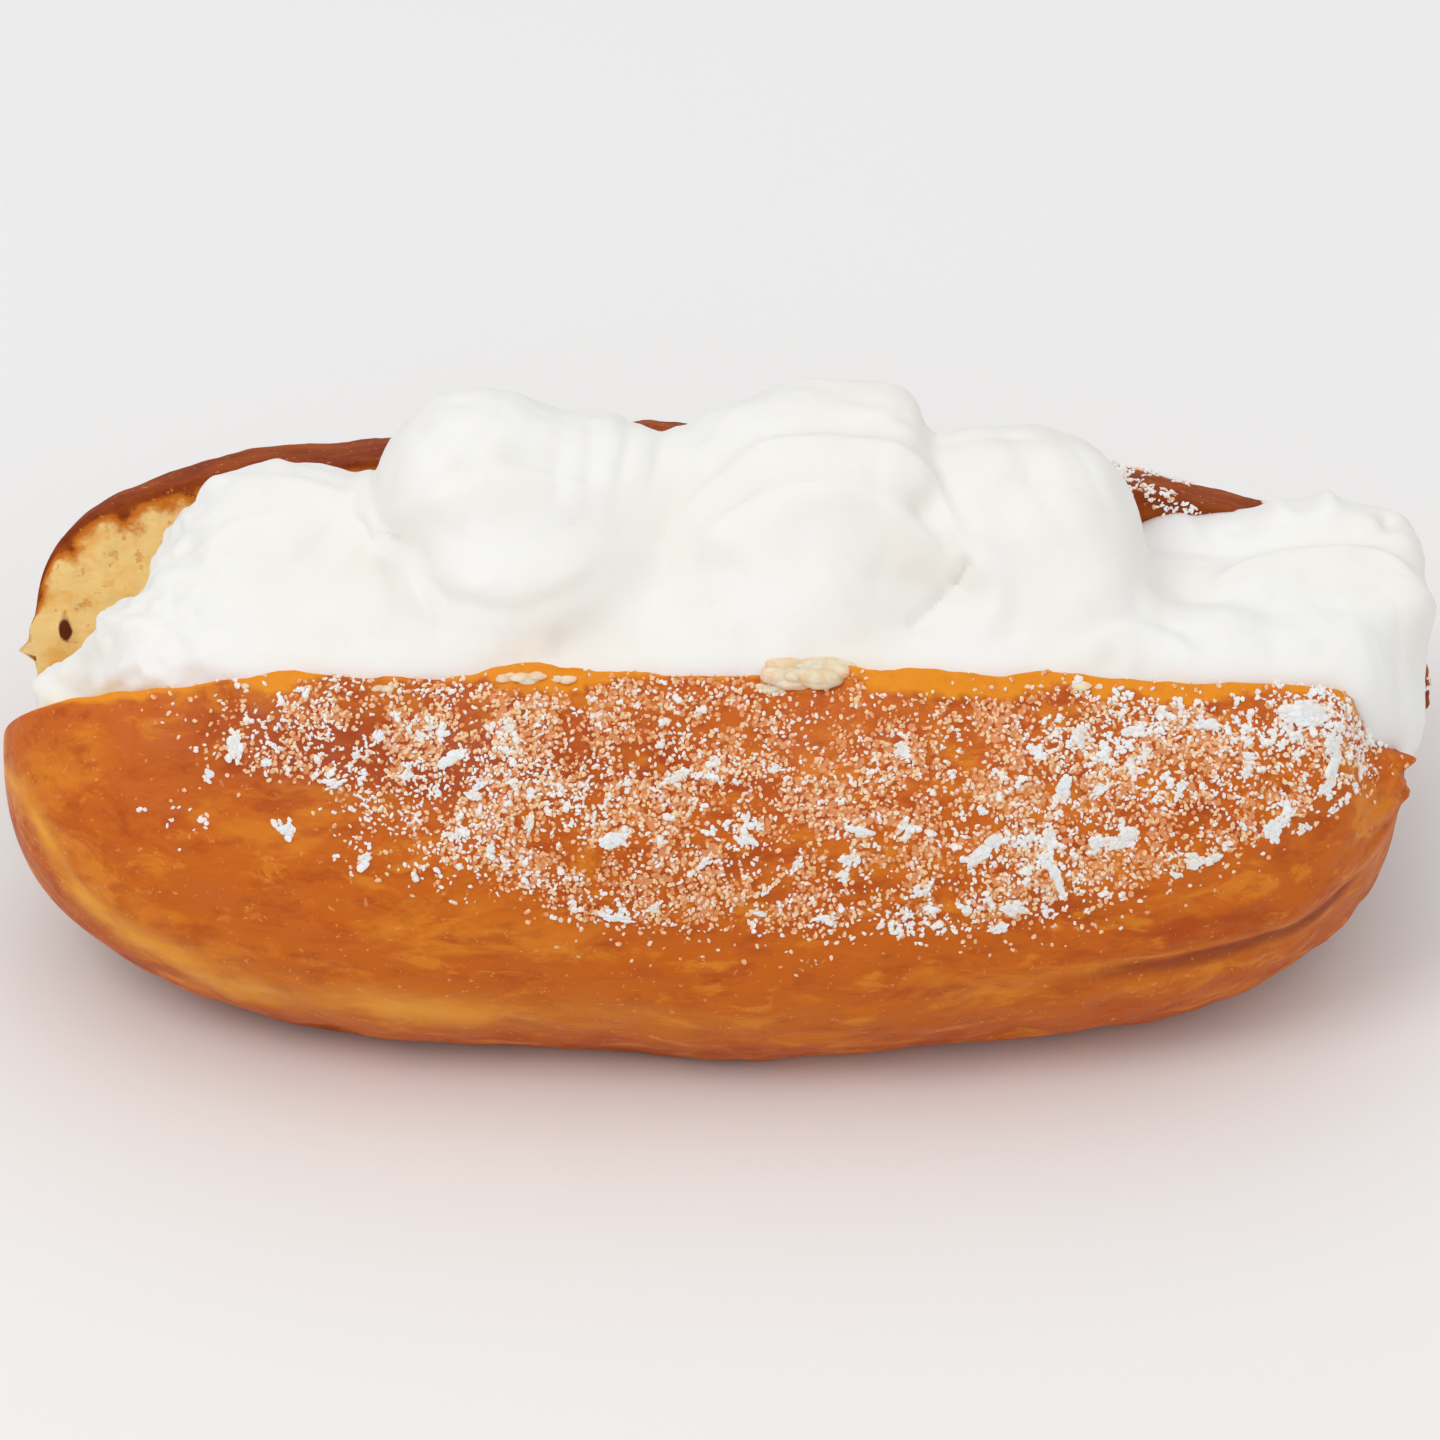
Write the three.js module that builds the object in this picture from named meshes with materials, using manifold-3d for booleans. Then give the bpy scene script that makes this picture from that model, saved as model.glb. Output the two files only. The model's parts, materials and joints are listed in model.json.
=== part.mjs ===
// A cream-filled finger doughnut, about 150 mm long. A long bun is cut from above, opened like a
// book and filled with whipped cream, with icing sugar dusted over the crust.
// Millimetres, x along the bun, the front half at -y, z up, standing on its flattened underside.
import * as THREE from "three";
import { mergeVertices } from "three/addons/utils/BufferGeometryUtils.js";
import Module from "manifold-3d";

const wasm = await Module();
wasm.setup();

// The bun before it is opened
const BUN_WIDTH = 64;
const BUN_HEIGHT = 47;
const SECTION_POWER = 2.15; // roundness of the section across the bun, where 2 is an ellipse

// The cut, and how far the cream opens it. Each half has its own left and right end, and the
// powers that round those ends seen from above and from the side.
const CUT_FOOT = 10; // dough left under the cut
const CUT_GAP = 9; // width of the cut at its foot, once opened
const HALVES = {
  front: { side: -1, turn: 34, sunk: 2, ends: [-74.5, 72], planPower: [2.5, 2.7], sidePower: [3.1, 4.6] },
  back: { side: 1, turn: 15, sunk: 2.3, ends: [-73, 75.3], planPower: [2.4, 2.3], sidePower: [3.6, 2.2] },
};

// The hinge of dough that joins the halves under the cut. Its floor is flat in the middle and
// rises at both ends, as the underside of the bun does.
const HINGE = { length: 139, width: 36, top: 12.5, endPower: 2.8, endHeight: 24, flattened: 2 };

// Relief of the fried crust, of the crease low on its right, and of the torn crumb at the cut
const CRUST_SWELL = { height: 0.5, span: 34 };
const CRUMB_RELIEF = { height: 0.6, span: 11 };
const CREASE = { angle: 21, from: 16, to: 54, depth: 1.3, width: 6 };

// Where the front lip is torn a little higher or lower than the rest
const LIP_TEARS = [
  { at: -44, width: 8, rise: 1.6 },
  { at: -16, width: 7, rise: 2.4 },
  { at: 7, width: 4, rise: -0.8 },
  { at: 22, width: 11, rise: 1.4 },
  { at: 50, width: 14, rise: -1 },
];
const TEAR_POWER = 4; // how closely a tear keeps to the lip

// The whipped cream: soft mounds pressed together into one mass, each with its middle, its half
// sizes, its lean to the right and how square it is, where 2 is an ellipsoid. The first two are the
// filling between the halves.
const CREAM_CLEARANCE = 0.3; // between the cream and the dough
const CREAM_BLEND = 1.1; // how softly the mounds run into each other
const CREAM_AXIS = { y: -5, z: 29 };
const MOUNDS = [
  { at: [0, -6, 23], size: [71.5, 19, 13.5], lean: 0, power: 2.6 },
  { at: [0, -9, 29], size: [62, 16, 15], lean: 0, power: 3 },
  { at: [-44, 0, 33.5], size: [16.5, 15, 16.2], lean: 0, power: 2.2 },
  { at: [-49, -11, 33], size: [16, 11.5, 12.5], lean: 0, power: 2.2 },
  { at: [-25, 1, 41], size: [10.5, 13, 17.5], lean: 0, power: 2.6 },
  { at: [-15, 1, 40], size: [15, 13, 15.7], lean: 6, power: 2.2 },
  { at: [-20, -9, 39], size: [13, 12, 13.3], lean: 0, power: 2.2 },
  { at: [-28, -14, 34], size: [10, 9, 11], lean: 0, power: 2.2 },
  { at: [5, 3, 39.5], size: [13, 12, 16.4], lean: -6, power: 2.2 },
  { at: [14, 3, 39.5], size: [9.3, 12, 16.9], lean: 0, power: 5 },
  { at: [9, -5, 38], size: [16.5, 11, 15.8], lean: 0, power: 2.4 },
  { at: [8, -13, 36], size: [14.5, 10, 13.5], lean: 0, power: 2.2 },
  { at: [31, 0, 38], size: [13.8, 14, 15.8], lean: 0, power: 2.6 },
  { at: [36, -9, 34], size: [12, 12, 14], lean: 0, power: 2.2 },
  { at: [58, 2, 26.5], size: [15.8, 15, 12.9], lean: 0, power: 4 },
  { at: [65.3, 2, 32], size: [9.6, 11, 8.6], lean: 0, power: 4 },
  { at: [59.5, -10, 31], size: [14, 12.5, 9.5], lean: 0, power: 2.6 },
];

// Icing sugar lying on the crust in clumps, between two angles up the front half. The lower angle
// rises towards both ends, and the clumps thicken towards the right.
const SUGAR = {
  tries: 88,
  longest: 4.4,
  shortest: 1.8,
  thickness: 0.5,
  shares: [-0.72, 0.9], // of the half length, from left to right
  thickens: [0.1, 0.7],
  leftShare: 0.5, // of the tries that stay, on the left
  lowest: 40,
  riseLeft: 56,
  riseRight: 13,
  highest: 79,
};

// How finely each surface is divided along the bun and round its section
const HALF_GRID = { stations: 44, sides: 30, crustShare: 0.8, endCrowding: 1.7 };
const HINGE_GRID = { stations: 26, sides: 16 };
const CREAM_GRID = { stations: 72, sides: 38, endCrowding: 0.25 };

// How far out the search for the cream's surface starts, its steps, and how often it halves them
const SEARCH = { along: 90, across: 50, step: 1, halvings: 20 };

const FINISHES = {
  crust: { color: 0xc0682a, roughness: 0.45, metalness: 0 },
  cream: { color: 0xf4f2ea, roughness: 0.6, metalness: 0 },
};

const radians = THREE.MathUtils.degToRad;
const smoothstep = THREE.MathUtils.smoothstep;

// Soft uneven swelling, from -1 to 1: three crossed waves with a wavelength of about `span`.
function swell(x, y, z, span) {
  const k = (2 * Math.PI) / span;
  const first = Math.sin(k * (0.9 * x + 0.5 * y) + 1.3);
  const second = Math.sin(k * (0.7 * y - 0.8 * z - 0.6 * x) + 4.1);
  const third = Math.sin(k * (0.7 * x + 1.3 * z) + 2.2);
  return (first + second + third) / 3;
}

// A superellipse's height at share s of its half length.
function arch(s, power) {
  return (1 - Math.min(1, Math.abs(s)) ** power) ** (1 / power);
}

// A superellipse's two coordinates at an angle.
function oval(angle, power) {
  const bend = (value) => Math.sign(value) * Math.abs(value) ** (2 / power);
  return [bend(Math.cos(angle)), bend(Math.sin(angle))];
}

// A closed surface over a ball's grid: place(k, turn) gives its point, where k runs from -1 to 1
// between the two ends and turn once round the section.
function closedSurface({ stations, sides }, place) {
  const geometry = new THREE.SphereGeometry(1, sides, stations);
  geometry.deleteAttribute("normal");
  geometry.deleteAttribute("uv");
  const position = geometry.getAttribute("position");
  for (let i = 0; i < position.count; i++) {
    const row = Math.floor(i / (sides + 1));
    const column = (i % (sides + 1)) % sides;
    const point = place((2 * row) / stations - 1, column / sides);
    position.setXYZ(i, point.x, point.y, point.z);
  }
  return mergeVertices(geometry, 1e-4);
}

// A closed surface as a solid, turned the right way out where a mirrored shape comes inside out.
function toSolid(geometry) {
  const vertProperties = new Float32Array(geometry.getAttribute("position").array);
  const triVerts = new Uint32Array(geometry.index.array);
  const made = new wasm.Manifold(new wasm.Mesh({ numProp: 3, vertProperties, triVerts }));
  if (made.volume() > 0) return made;
  for (let i = 0; i < triVerts.length; i += 3) triVerts.subarray(i, i + 3).reverse();
  return new wasm.Manifold(new wasm.Mesh({ numProp: 3, vertProperties, triVerts }));
}

function toGeometry(solid) {
  const { numProp, numVert, vertProperties, triVerts } = solid.getMesh();
  const points = new Float32Array(numVert * 3);
  for (let i = 0; i < numVert; i++) {
    points.set(vertProperties.subarray(i * numProp, i * numProp + 3), i * 3);
  }
  const geometry = new THREE.BufferGeometry();
  geometry.setAttribute("position", new THREE.BufferAttribute(points, 3));
  geometry.setIndex(new THREE.BufferAttribute(new Uint32Array(triVerts), 1));
  geometry.computeVertexNormals();
  return geometry;
}

function largest(solid) {
  return solid.decompose().sort((a, b) => b.volume() - a.volume())[0];
}

// Where a point of a half lies once it is opened: `out` from its cut face, `up` from its underside.
function opened(half, x, out, up) {
  const turn = radians(half.turn);
  const reach = Math.hypot((BUN_WIDTH / 2) * Math.sin(turn), (BUN_HEIGHT / 2) * Math.cos(turn));
  const foot = reach - half.sunk - (BUN_HEIGHT / 2 - CUT_FOOT) * Math.cos(turn);
  const rise = up - CUT_FOOT;
  const y = half.side * (CUT_GAP / 2 + out * Math.cos(turn) + rise * Math.sin(turn));
  const z = foot + rise * Math.cos(turn) - out * Math.sin(turn);
  return new THREE.Vector3(x, y, Math.max(0, z));
}

// How far the crust swells out at an angle up its section, with the crease in the front half.
function crustRelief(half, x, angle, share) {
  const round = (BUN_HEIGHT / 2) * angle;
  const uneven = CRUST_SWELL.height * swell(x, round, (BUN_WIDTH / 2) * half.side, CRUST_SWELL.span) * share;
  if (half.side > 0) return uneven;
  const along = smoothstep(x, CREASE.from, CREASE.to);
  const off = (angle - radians(CREASE.angle)) / radians(CREASE.width);
  return uneven - CREASE.depth * along * Math.exp(-off * off) * share;
}

// How much higher the front lip is torn there.
function lipRise(half, x) {
  if (half.side > 0) return 0;
  const rise = (total, tear) => total + tear.rise * Math.exp(-(((x - tear.at) / tear.width) ** 2));
  return LIP_TEARS.reduce(rise, 0);
}

// Where a half's section stands at share s of its length, and its half width and half height there.
function section(half, s, grow) {
  const [left, right] = half.ends;
  const end = s < 0 ? 0 : 1;
  return {
    x: (left + right) / 2 + s * ((right - left) / 2 + grow),
    width: (BUN_WIDTH / 2 + grow) * arch(s, half.planPower[end]),
    height: (BUN_HEIGHT / 2 + grow) * arch(s, half.sidePower[end]),
    share: arch(s, 2), // fades the relief out at the ends
  };
}

// A point on the crust of a half, at share s of its length and an angle up its section, which is
// -90 degrees at the underside and 90 at the lip.
function onCrust(half, s, angle, grow = 0) {
  const { x, width, height, share } = section(half, s, grow);
  const [across, along] = oval(angle, SECTION_POWER);
  const relief = crustRelief(half, x, angle, share);
  const torn = lipRise(half, x) * share * Math.max(0, Math.sin(angle)) ** TEAR_POWER;
  const out = width * Math.max(0, across) + relief * Math.cos(angle) - grow;
  return opened(half, x, out, BUN_HEIGHT / 2 + height * along + relief * Math.sin(angle) + torn);
}

// A point on the cut face of a half, `down` running from the lip at 0 to the foot at 1.
function onCut(half, s, down, grow) {
  const { x, height, share } = section(half, s, grow);
  const up = height * Math.cos(Math.PI * down);
  const away = Math.sin(Math.PI * down) * share;
  const crumb = CRUMB_RELIEF.height * swell(x, up, CUT_GAP * half.side, CRUMB_RELIEF.span) * away;
  const torn = lipRise(half, x) * share * Math.max(0, Math.cos(Math.PI * down)) ** TEAR_POWER;
  return opened(half, x, crumb - grow, BUN_HEIGHT / 2 + up + torn);
}

// One half of the bun. `grow` makes it larger all round, for cutting the cream clear of it.
function bunHalf(half, grow) {
  const { crustShare, endCrowding } = HALF_GRID;
  const surface = closedSurface(HALF_GRID, (k, turn) => {
    const s = Math.sign(k) * (1 - (1 - Math.abs(k)) ** endCrowding);
    if (turn <= crustShare) return onCrust(half, s, Math.PI * (turn / crustShare - 0.5), grow);
    return onCut(half, s, (turn - crustShare) / (1 - crustShare), grow);
  });
  return toSolid(surface);
}

function hinge(grow) {
  const { length, width, top, endPower, endHeight, flattened } = HINGE;
  const [left, right] = HALVES.back.ends;
  const surface = closedSurface(HINGE_GRID, (k, turn) => {
    const s = Math.sin((Math.PI / 2) * k);
    const x = (s * length) / 2;
    const underside = endHeight - (endHeight + flattened) * arch((2 * x) / (right - left), endPower);
    const floor = Math.max(0, underside);
    const angle = 2 * Math.PI * turn;
    const y = (width / 2 + grow) * arch(s, 2) * Math.cos(angle);
    const rise = Math.max(0, Math.sin(angle)) * (top + grow - floor) * arch(s, 3);
    return new THREE.Vector3(x + s * grow, y, floor + rise);
  });
  return toSolid(surface);
}

function dough(grow = 0) {
  return largest(bunHalf(HALVES.front, grow).add(bunHalf(HALVES.back, grow)).add(hinge(grow)));
}

// How far a point lies outside the cream, less than 0 inside it.
function outsideCream({ x, y, z }) {
  let near = 0;
  for (const { at, size, lean, power } of MOUNDS) {
    const tilt = radians(lean);
    const along = (x - at[0]) * Math.cos(tilt) - (z - at[2]) * Math.sin(tilt);
    const up = (x - at[0]) * Math.sin(tilt) + (z - at[2]) * Math.cos(tilt);
    const parts = [along / size[0], (y - at[1]) / size[1], up / size[2]];
    const reach = parts.reduce((sum, part) => sum + Math.abs(part) ** power, 0) ** (1 / power);
    near += Math.exp(((1 - reach) * Math.min(...size)) / CREAM_BLEND);
  }
  return -CREAM_BLEND * Math.log(near);
}

// The cream's surface from a start inside it, found by walking in along a direction from far away.
function creamEdge(start, direction, far) {
  const at = (reach) => start.clone().addScaledVector(direction, reach);
  let near = far;
  while (near > 0 && outsideCream(at(near)) > 0) near -= SEARCH.step;
  let beyond = Math.min(far, near + SEARCH.step);
  for (let i = 0; i < SEARCH.halvings; i++) {
    const middle = (near + beyond) / 2;
    if (outsideCream(at(middle)) > 0) beyond = middle;
    else near = middle;
  }
  return at(near);
}

// The cream's outside, found from all round its long axis.
function creamSurface() {
  const centre = new THREE.Vector3(0, CREAM_AXIS.y, CREAM_AXIS.z);
  const left = creamEdge(centre, new THREE.Vector3(-1, 0, 0), SEARCH.along);
  const right = creamEdge(centre, new THREE.Vector3(1, 0, 0), SEARCH.along);
  return closedSurface(CREAM_GRID, (k, turn) => {
    const { endCrowding } = CREAM_GRID;
    const share = (1 - endCrowding) * k + endCrowding * Math.sin((Math.PI / 2) * k);
    const start = left.clone().lerp(right, (share + 1) / 2);
    if (Math.abs(k) === 1) return start;
    const angle = 2 * Math.PI * turn;
    return creamEdge(start, new THREE.Vector3(0, Math.cos(angle), Math.sin(angle)), SEARCH.across);
  });
}

function cream() {
  return largest(toSolid(creamSurface()).subtract(dough(CREAM_CLEARANCE)));
}

// A repeatable draw between 0 and 1, one for each clump and use.
function draw(i, use) {
  const wave = Math.sin(12.9898 * i + 78.233 * use) * 43758.5453;
  return wave - Math.floor(wave);
}

// The places of the sugar clumps, scattered over the upper crust.
function sugarPlaces() {
  const { tries, longest, shortest, shares, thickens, leftShare, highest } = SUGAR;
  const places = [];
  for (let i = 1; i <= tries; i++) {
    const s = shares[0] + (shares[1] - shares[0]) * draw(i, 1);
    const wanted = leftShare + (1 - leftShare) * smoothstep(s, ...thickens);
    if (draw(i, 2) > wanted) continue;
    const lowest = SUGAR.lowest + (s < 0 ? SUGAR.riseLeft : SUGAR.riseRight) * s ** 2;
    const angle = radians(lowest + (highest - lowest) * draw(i, 3));
    const length = shortest + (longest - shortest) * draw(i, 4) ** 2;
    places.push({ s, angle, length, turn: 2 * Math.PI * draw(i, 5) });
  }
  return places;
}

// One clump: a flat scrap half sunk in the crust.
function clump({ s, angle, length, turn }) {
  const nearby = 0.01;
  const point = onCrust(HALVES.front, s, angle);
  const along = onCrust(HALVES.front, s + nearby, angle).sub(point).normalize();
  const up = onCrust(HALVES.front, s, angle + nearby).sub(point).normalize();
  const outward = new THREE.Vector3().crossVectors(along, up).normalize();
  const across = new THREE.Vector3().crossVectors(outward, along);
  const geometry = new THREE.IcosahedronGeometry(1, 0);
  geometry.deleteAttribute("normal");
  geometry.deleteAttribute("uv");
  geometry.scale(length / 2, length / 3, SUGAR.thickness);
  geometry.rotateZ(turn);
  geometry.applyMatrix4(new THREE.Matrix4().makeBasis(along, across, outward).setPosition(point));
  return { point, solid: toSolid(mergeVertices(geometry, 1e-4)) };
}

function bun() {
  const clear = SUGAR.longest / 2 + 1; // so that no clump touches the cream
  const clumps = sugarPlaces().map(clump);
  const kept = clumps.filter(({ point }) => outsideCream(point) > clear);
  return largest(kept.reduce((whole, { solid }) => whole.add(solid), dough()));
}

function node(name, solid, finish) {
  const mesh = new THREE.Mesh(toGeometry(solid), new THREE.MeshStandardMaterial(finish));
  mesh.name = name;
  return mesh;
}

const doughnut = new THREE.Group();
doughnut.add(node("bun", bun(), FINISHES.crust));
doughnut.add(node("cream", cream(), FINISHES.cream));

export default doughnut;
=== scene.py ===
# Cream-filled finger doughnut: a fried bun opened from above, whipped cream and icing sugar.
# Shapes are worked out in mm and turned to metres where a mesh is made.
import json
import math

import bmesh
import bpy
import numpy as np
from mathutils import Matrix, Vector
from mathutils.kdtree import KDTree

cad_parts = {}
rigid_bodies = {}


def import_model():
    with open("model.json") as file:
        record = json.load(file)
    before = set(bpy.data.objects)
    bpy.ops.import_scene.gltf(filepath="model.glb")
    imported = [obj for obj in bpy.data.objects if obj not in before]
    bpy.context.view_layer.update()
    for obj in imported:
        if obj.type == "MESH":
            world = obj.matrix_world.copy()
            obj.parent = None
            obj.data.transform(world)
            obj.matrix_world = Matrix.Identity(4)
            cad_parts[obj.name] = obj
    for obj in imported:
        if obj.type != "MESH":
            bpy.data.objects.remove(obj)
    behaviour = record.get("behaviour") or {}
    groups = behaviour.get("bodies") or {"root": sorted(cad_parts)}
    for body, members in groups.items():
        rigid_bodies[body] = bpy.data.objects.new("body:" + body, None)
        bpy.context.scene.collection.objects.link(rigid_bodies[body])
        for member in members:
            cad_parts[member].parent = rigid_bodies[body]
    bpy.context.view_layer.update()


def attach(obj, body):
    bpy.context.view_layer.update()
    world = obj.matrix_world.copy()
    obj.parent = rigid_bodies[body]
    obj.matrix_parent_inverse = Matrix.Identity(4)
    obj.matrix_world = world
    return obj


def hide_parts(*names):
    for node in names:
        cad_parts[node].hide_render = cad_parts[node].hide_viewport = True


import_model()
mm = 0.001


# Seeded noise

# A chance number from 0 to 1 for each whole cell, by an integer hash with large odd factors
def hashed(cell, seed):
    x, y, z = cell[..., 0], cell[..., 1], cell[..., 2]
    mixed = (x * 374761393 + y * 668265263 + z * 1440662683 + seed * 974634777) & 0xFFFFFFFF
    mixed = ((mixed ^ (mixed >> 13)) * 1274126177) & 0xFFFFFFFF
    return ((mixed ^ (mixed >> 16)) & 0xFFFFFF) / 0xFFFFFF


noiseShift = 100  # keeps the cells of all points above zero


# Points in spans, and the whole cell that each is in
def cellsOf(points, span):
    scaled = np.asarray(points, float) / span + noiseShift
    return scaled, np.floor(scaled).astype(np.int64)


# Smooth noise from -1 to 1, whose lumps are about `span` across
def softNoise(points, span, seed=0):
    scaled, cell = cellsOf(points, span)
    part = scaled - cell
    part = part * part * part * (part * (part * 6 - 15) + 10)
    total = 0
    for corner in np.ndindex(2, 2, 2):
        weight = np.prod(np.where(np.array(corner) == 1, part, 1 - part), axis=-1)
        total = total + weight * hashed(cell + np.array(corner), seed)
    return 2 * total - 1


def roughNoise(points, span, octaves=3, seed=0):
    total, weight = 0, 0
    for i in range(octaves):
        total = total + softNoise(points, span / 2 ** i, seed + i) / 2 ** i
        weight += 1 / 2 ** i
    return total / weight


# Distance to the nearest of scattered seeds, about `span` apart, as a share of the span
def cellNoise(points, span, seed=0):
    scaled, cell = cellsOf(points, span)
    nearest = np.full(scaled.shape[:-1], 9.0)
    for step in np.ndindex(3, 3, 3):
        here = cell + np.array(step) - 1
        place = np.stack([hashed(here, seed + axis) for axis in range(3)], axis=-1) + here
        nearest = np.minimum(nearest, np.linalg.norm(place - scaled, axis=-1))
    return nearest


def smoothstep(value, low, high):
    share = np.clip((value - low) / (high - low), 0, 1)
    return share * share * (3 - 2 * share)


# A soft hill of height 1 at a place, for arrays
def hill(value, at, width):
    return np.exp(-((value - at) / width) ** 2)


def stacked(x, y, z):
    return np.stack(np.broadcast_arrays(x, y, z), axis=-1)


# Meshes

def linked(made):
    bpy.context.scene.collection.objects.link(made)
    return made


def meshObject(name, points, faces, attributes=None):
    mesh = bpy.data.meshes.new(name)
    mesh.from_pydata(np.asarray(points) * mm, [], faces)
    mesh.update()
    made = linked(bpy.data.objects.new(name, mesh))
    for key, values in (attributes or {}).items():
        writeAttribute(made, key, values)
    return made


# A closed surface from rings of points between two poles, with its faces pointing out
def ringFaces(rings, sides, points):
    index = np.arange(rings * sides).reshape(rings, sides)
    following = np.roll(index, -1, axis=1)
    quads = np.stack([index[:-1], following[:-1], following[1:], index[1:]], axis=-1).reshape(-1, 4)
    first, last = rings * sides, rings * sides + 1
    caps = [(first, b, a) for a, b in zip(index[0], following[0])]
    caps += [(last, a, b) for a, b in zip(index[-1], following[-1])]
    corner = points[quads]
    crossed = np.cross(corner[:, 2] - corner[:, 0], corner[:, 3] - corner[:, 1])
    outward = (crossed * (corner.mean(1) - points.mean(0))).sum() > 0
    faces = quads.tolist() + caps
    return faces if outward else [face[::-1] for face in faces]


def ringObject(name, rings, poles, attributes):
    count, sides = rings.shape[:2]
    points = np.concatenate([rings.reshape(-1, 3), np.array(poles)])
    filled = {}
    for key, values in attributes.items():
        spread = np.broadcast_to(values, (count, sides))
        filled[key] = np.concatenate([spread.ravel(), [spread[0].mean(), spread[-1].mean()]])
    return meshObject(name, points, ringFaces(count, sides, points), filled)


def ball(level):
    shell = bmesh.new()
    bmesh.ops.create_icosphere(shell, subdivisions=level, radius=1)
    points = np.array([v.co for v in shell.verts])
    faces = [[v.index for v in face.verts] for face in shell.faces]
    shell.free()
    return points, faces


# The points and faces of one mesh from lists of points that all have the same faces
def together(lumps, faces):
    around = np.array(faces)
    allFaces = [(around + len(lumps[0]) * i).tolist() for i in range(len(lumps))]
    return np.concatenate(lumps), sum(allFaces, [])


def joinSolids(base, others, operation):
    for other in others:
        modifier = base.modifiers.new("join", "BOOLEAN")
        modifier.solver = "MANIFOLD"
        modifier.operation = operation
        modifier.object = other
    applyModifiers(base)


def applyModifiers(thing):
    evaluated = thing.evaluated_get(bpy.context.evaluated_depsgraph_get())
    mesh = bpy.data.meshes.new_from_object(evaluated)
    thing.modifiers.clear()
    thing.data = mesh


def removeObjects(*things):
    for thing in things:
        bpy.data.objects.remove(thing)


def readFloats(items, key, width):
    values = np.zeros(len(items) * width, np.float32)
    items.foreach_get(key, values)
    return values.reshape(-1, width).astype(float)


def pointsOf(thing):
    return readFloats(thing.data.vertices, "co", 3) / mm


def normalsOf(thing):
    return readFloats(thing.data.vertex_normals, "vector", 3)


def movePoints(thing, points):
    thing.data.vertices.foreach_set("co", (points * mm).astype(np.float32).ravel())
    thing.data.update()


def readAttribute(thing, key):
    return readFloats(thing.data.attributes[key].data, "value", 1)[:, 0]


def writeAttribute(thing, key, values):
    found = thing.data.attributes.get(key)
    layer = found or thing.data.attributes.new(key, "FLOAT", "POINT")
    layer.data.foreach_set("value", np.asarray(values, np.float32).ravel())


def smoothFaces(thing, angle):
    thing.data.shade_smooth()
    thing.data.set_sharp_from_angle(angle=math.radians(angle))


# Materials

def paint(red, green, blue):
    shares = [channel / 255 for channel in (red, green, blue)]
    return tuple(c / 12.92 if c <= 0.04045 else ((c + 0.055) / 1.055) ** 2.4 for c in shares) + (1,)


# A node whose inputs are values or the outputs of other nodes
def addNode(tree, kind, inputs=None, **settings):
    made = tree.nodes.new(kind)
    for key, value in settings.items():
        setattr(made, key, value)
    for key, value in (inputs or {}).items():
        feed(tree, made.inputs[key], value)
    return made


def feed(tree, socket, value):
    if isinstance(value, bpy.types.NodeSocket):
        tree.links.new(value, socket)
    else:
        socket.default_value = value


class Shader:
    # A material's node tree, with short calls for the nodes that the finishes below share
    def __init__(self, name):
        self.material = bpy.data.materials.new(name)
        self.material.use_nodes = True
        self.tree = self.material.node_tree
        self.surface = self.tree.nodes["Principled BSDF"]

    def node(self, kind, inputs=None, **settings):
        return addNode(self.tree, kind, inputs, **settings)

    def set(self, **values):
        for key, value in values.items():
            feed(self.tree, self.surface.inputs[key.replace("_", " ")], value)

    def attribute(self, key):
        return self.node("ShaderNodeAttribute", attribute_name=key).outputs["Fac"]

    def place(self, stretch):
        made = self.node("ShaderNodeTexCoord").outputs["Object"]
        return self.node("ShaderNodeMapping", {"Vector": made, "Scale": stretch}).outputs["Vector"]

    # Noise from 0 to 1, whose lumps are about `span` mm across
    def noise(self, span, detail=2.0, rough=0.5, stretch=(1, 1, 1), warp=0.0):
        inputs = {"Vector": self.place(stretch), "Scale": 1 / (span * mm), "Detail": detail,
                  "Roughness": rough, "Distortion": warp}
        return self.node("ShaderNodeTexNoise", inputs).outputs["Fac"]

    def cells(self, span):
        inputs = {"Vector": self.place((1, 1, 1)), "Scale": 1 / (span * mm)}
        return self.node("ShaderNodeTexVoronoi", inputs).outputs["Distance"]

    def spread(self, value, low, high, start=0.0, end=1.0, kind="SMOOTHSTEP"):
        inputs = {"Value": value, "From Min": low, "From Max": high, "To Min": start, "To Max": end}
        return self.node("ShaderNodeMapRange", inputs, interpolation_type=kind).outputs["Result"]

    # A share that runs from 0 to 1 between two levels of a noise
    def patches(self, low, high, *noise, **more):
        return self.spread(self.noise(*noise, **more), low, high)

    def sum(self, a, b):
        return self.math("ADD", a, b)

    def times(self, a, b):
        return self.math("MULTIPLY", a, b)

    def most(self, a, b):
        return self.math("MAXIMUM", a, b)

    def math(self, operation, a, b):
        return self.node("ShaderNodeMath", {0: a, 1: b}, operation=operation).outputs["Value"]

    def blend(self, share, under, over):
        made = self.node("ShaderNodeMix", {"Factor": share}, data_type="RGBA")
        feed(self.tree, made.inputs[6], under)
        feed(self.tree, made.inputs[7], over)
        return made.outputs[2]

    def ramp(self, value, stops):
        made = self.node("ShaderNodeValToRGB", {"Fac": value})
        band = made.color_ramp
        while len(band.elements) < len(stops):
            band.elements.new(0.5)
        for element, (at, colour) in zip(band.elements, stops):
            element.position = at
            element.color = colour
        return made.outputs["Color"]

    def bump(self, height, distance, strength=1.0, below=None):
        inputs = {"Height": height, "Distance": distance * mm, "Strength": strength}
        if below is not None:
            inputs["Normal"] = below
        return self.node("ShaderNodeBump", inputs).outputs["Normal"]


# The dough

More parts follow.
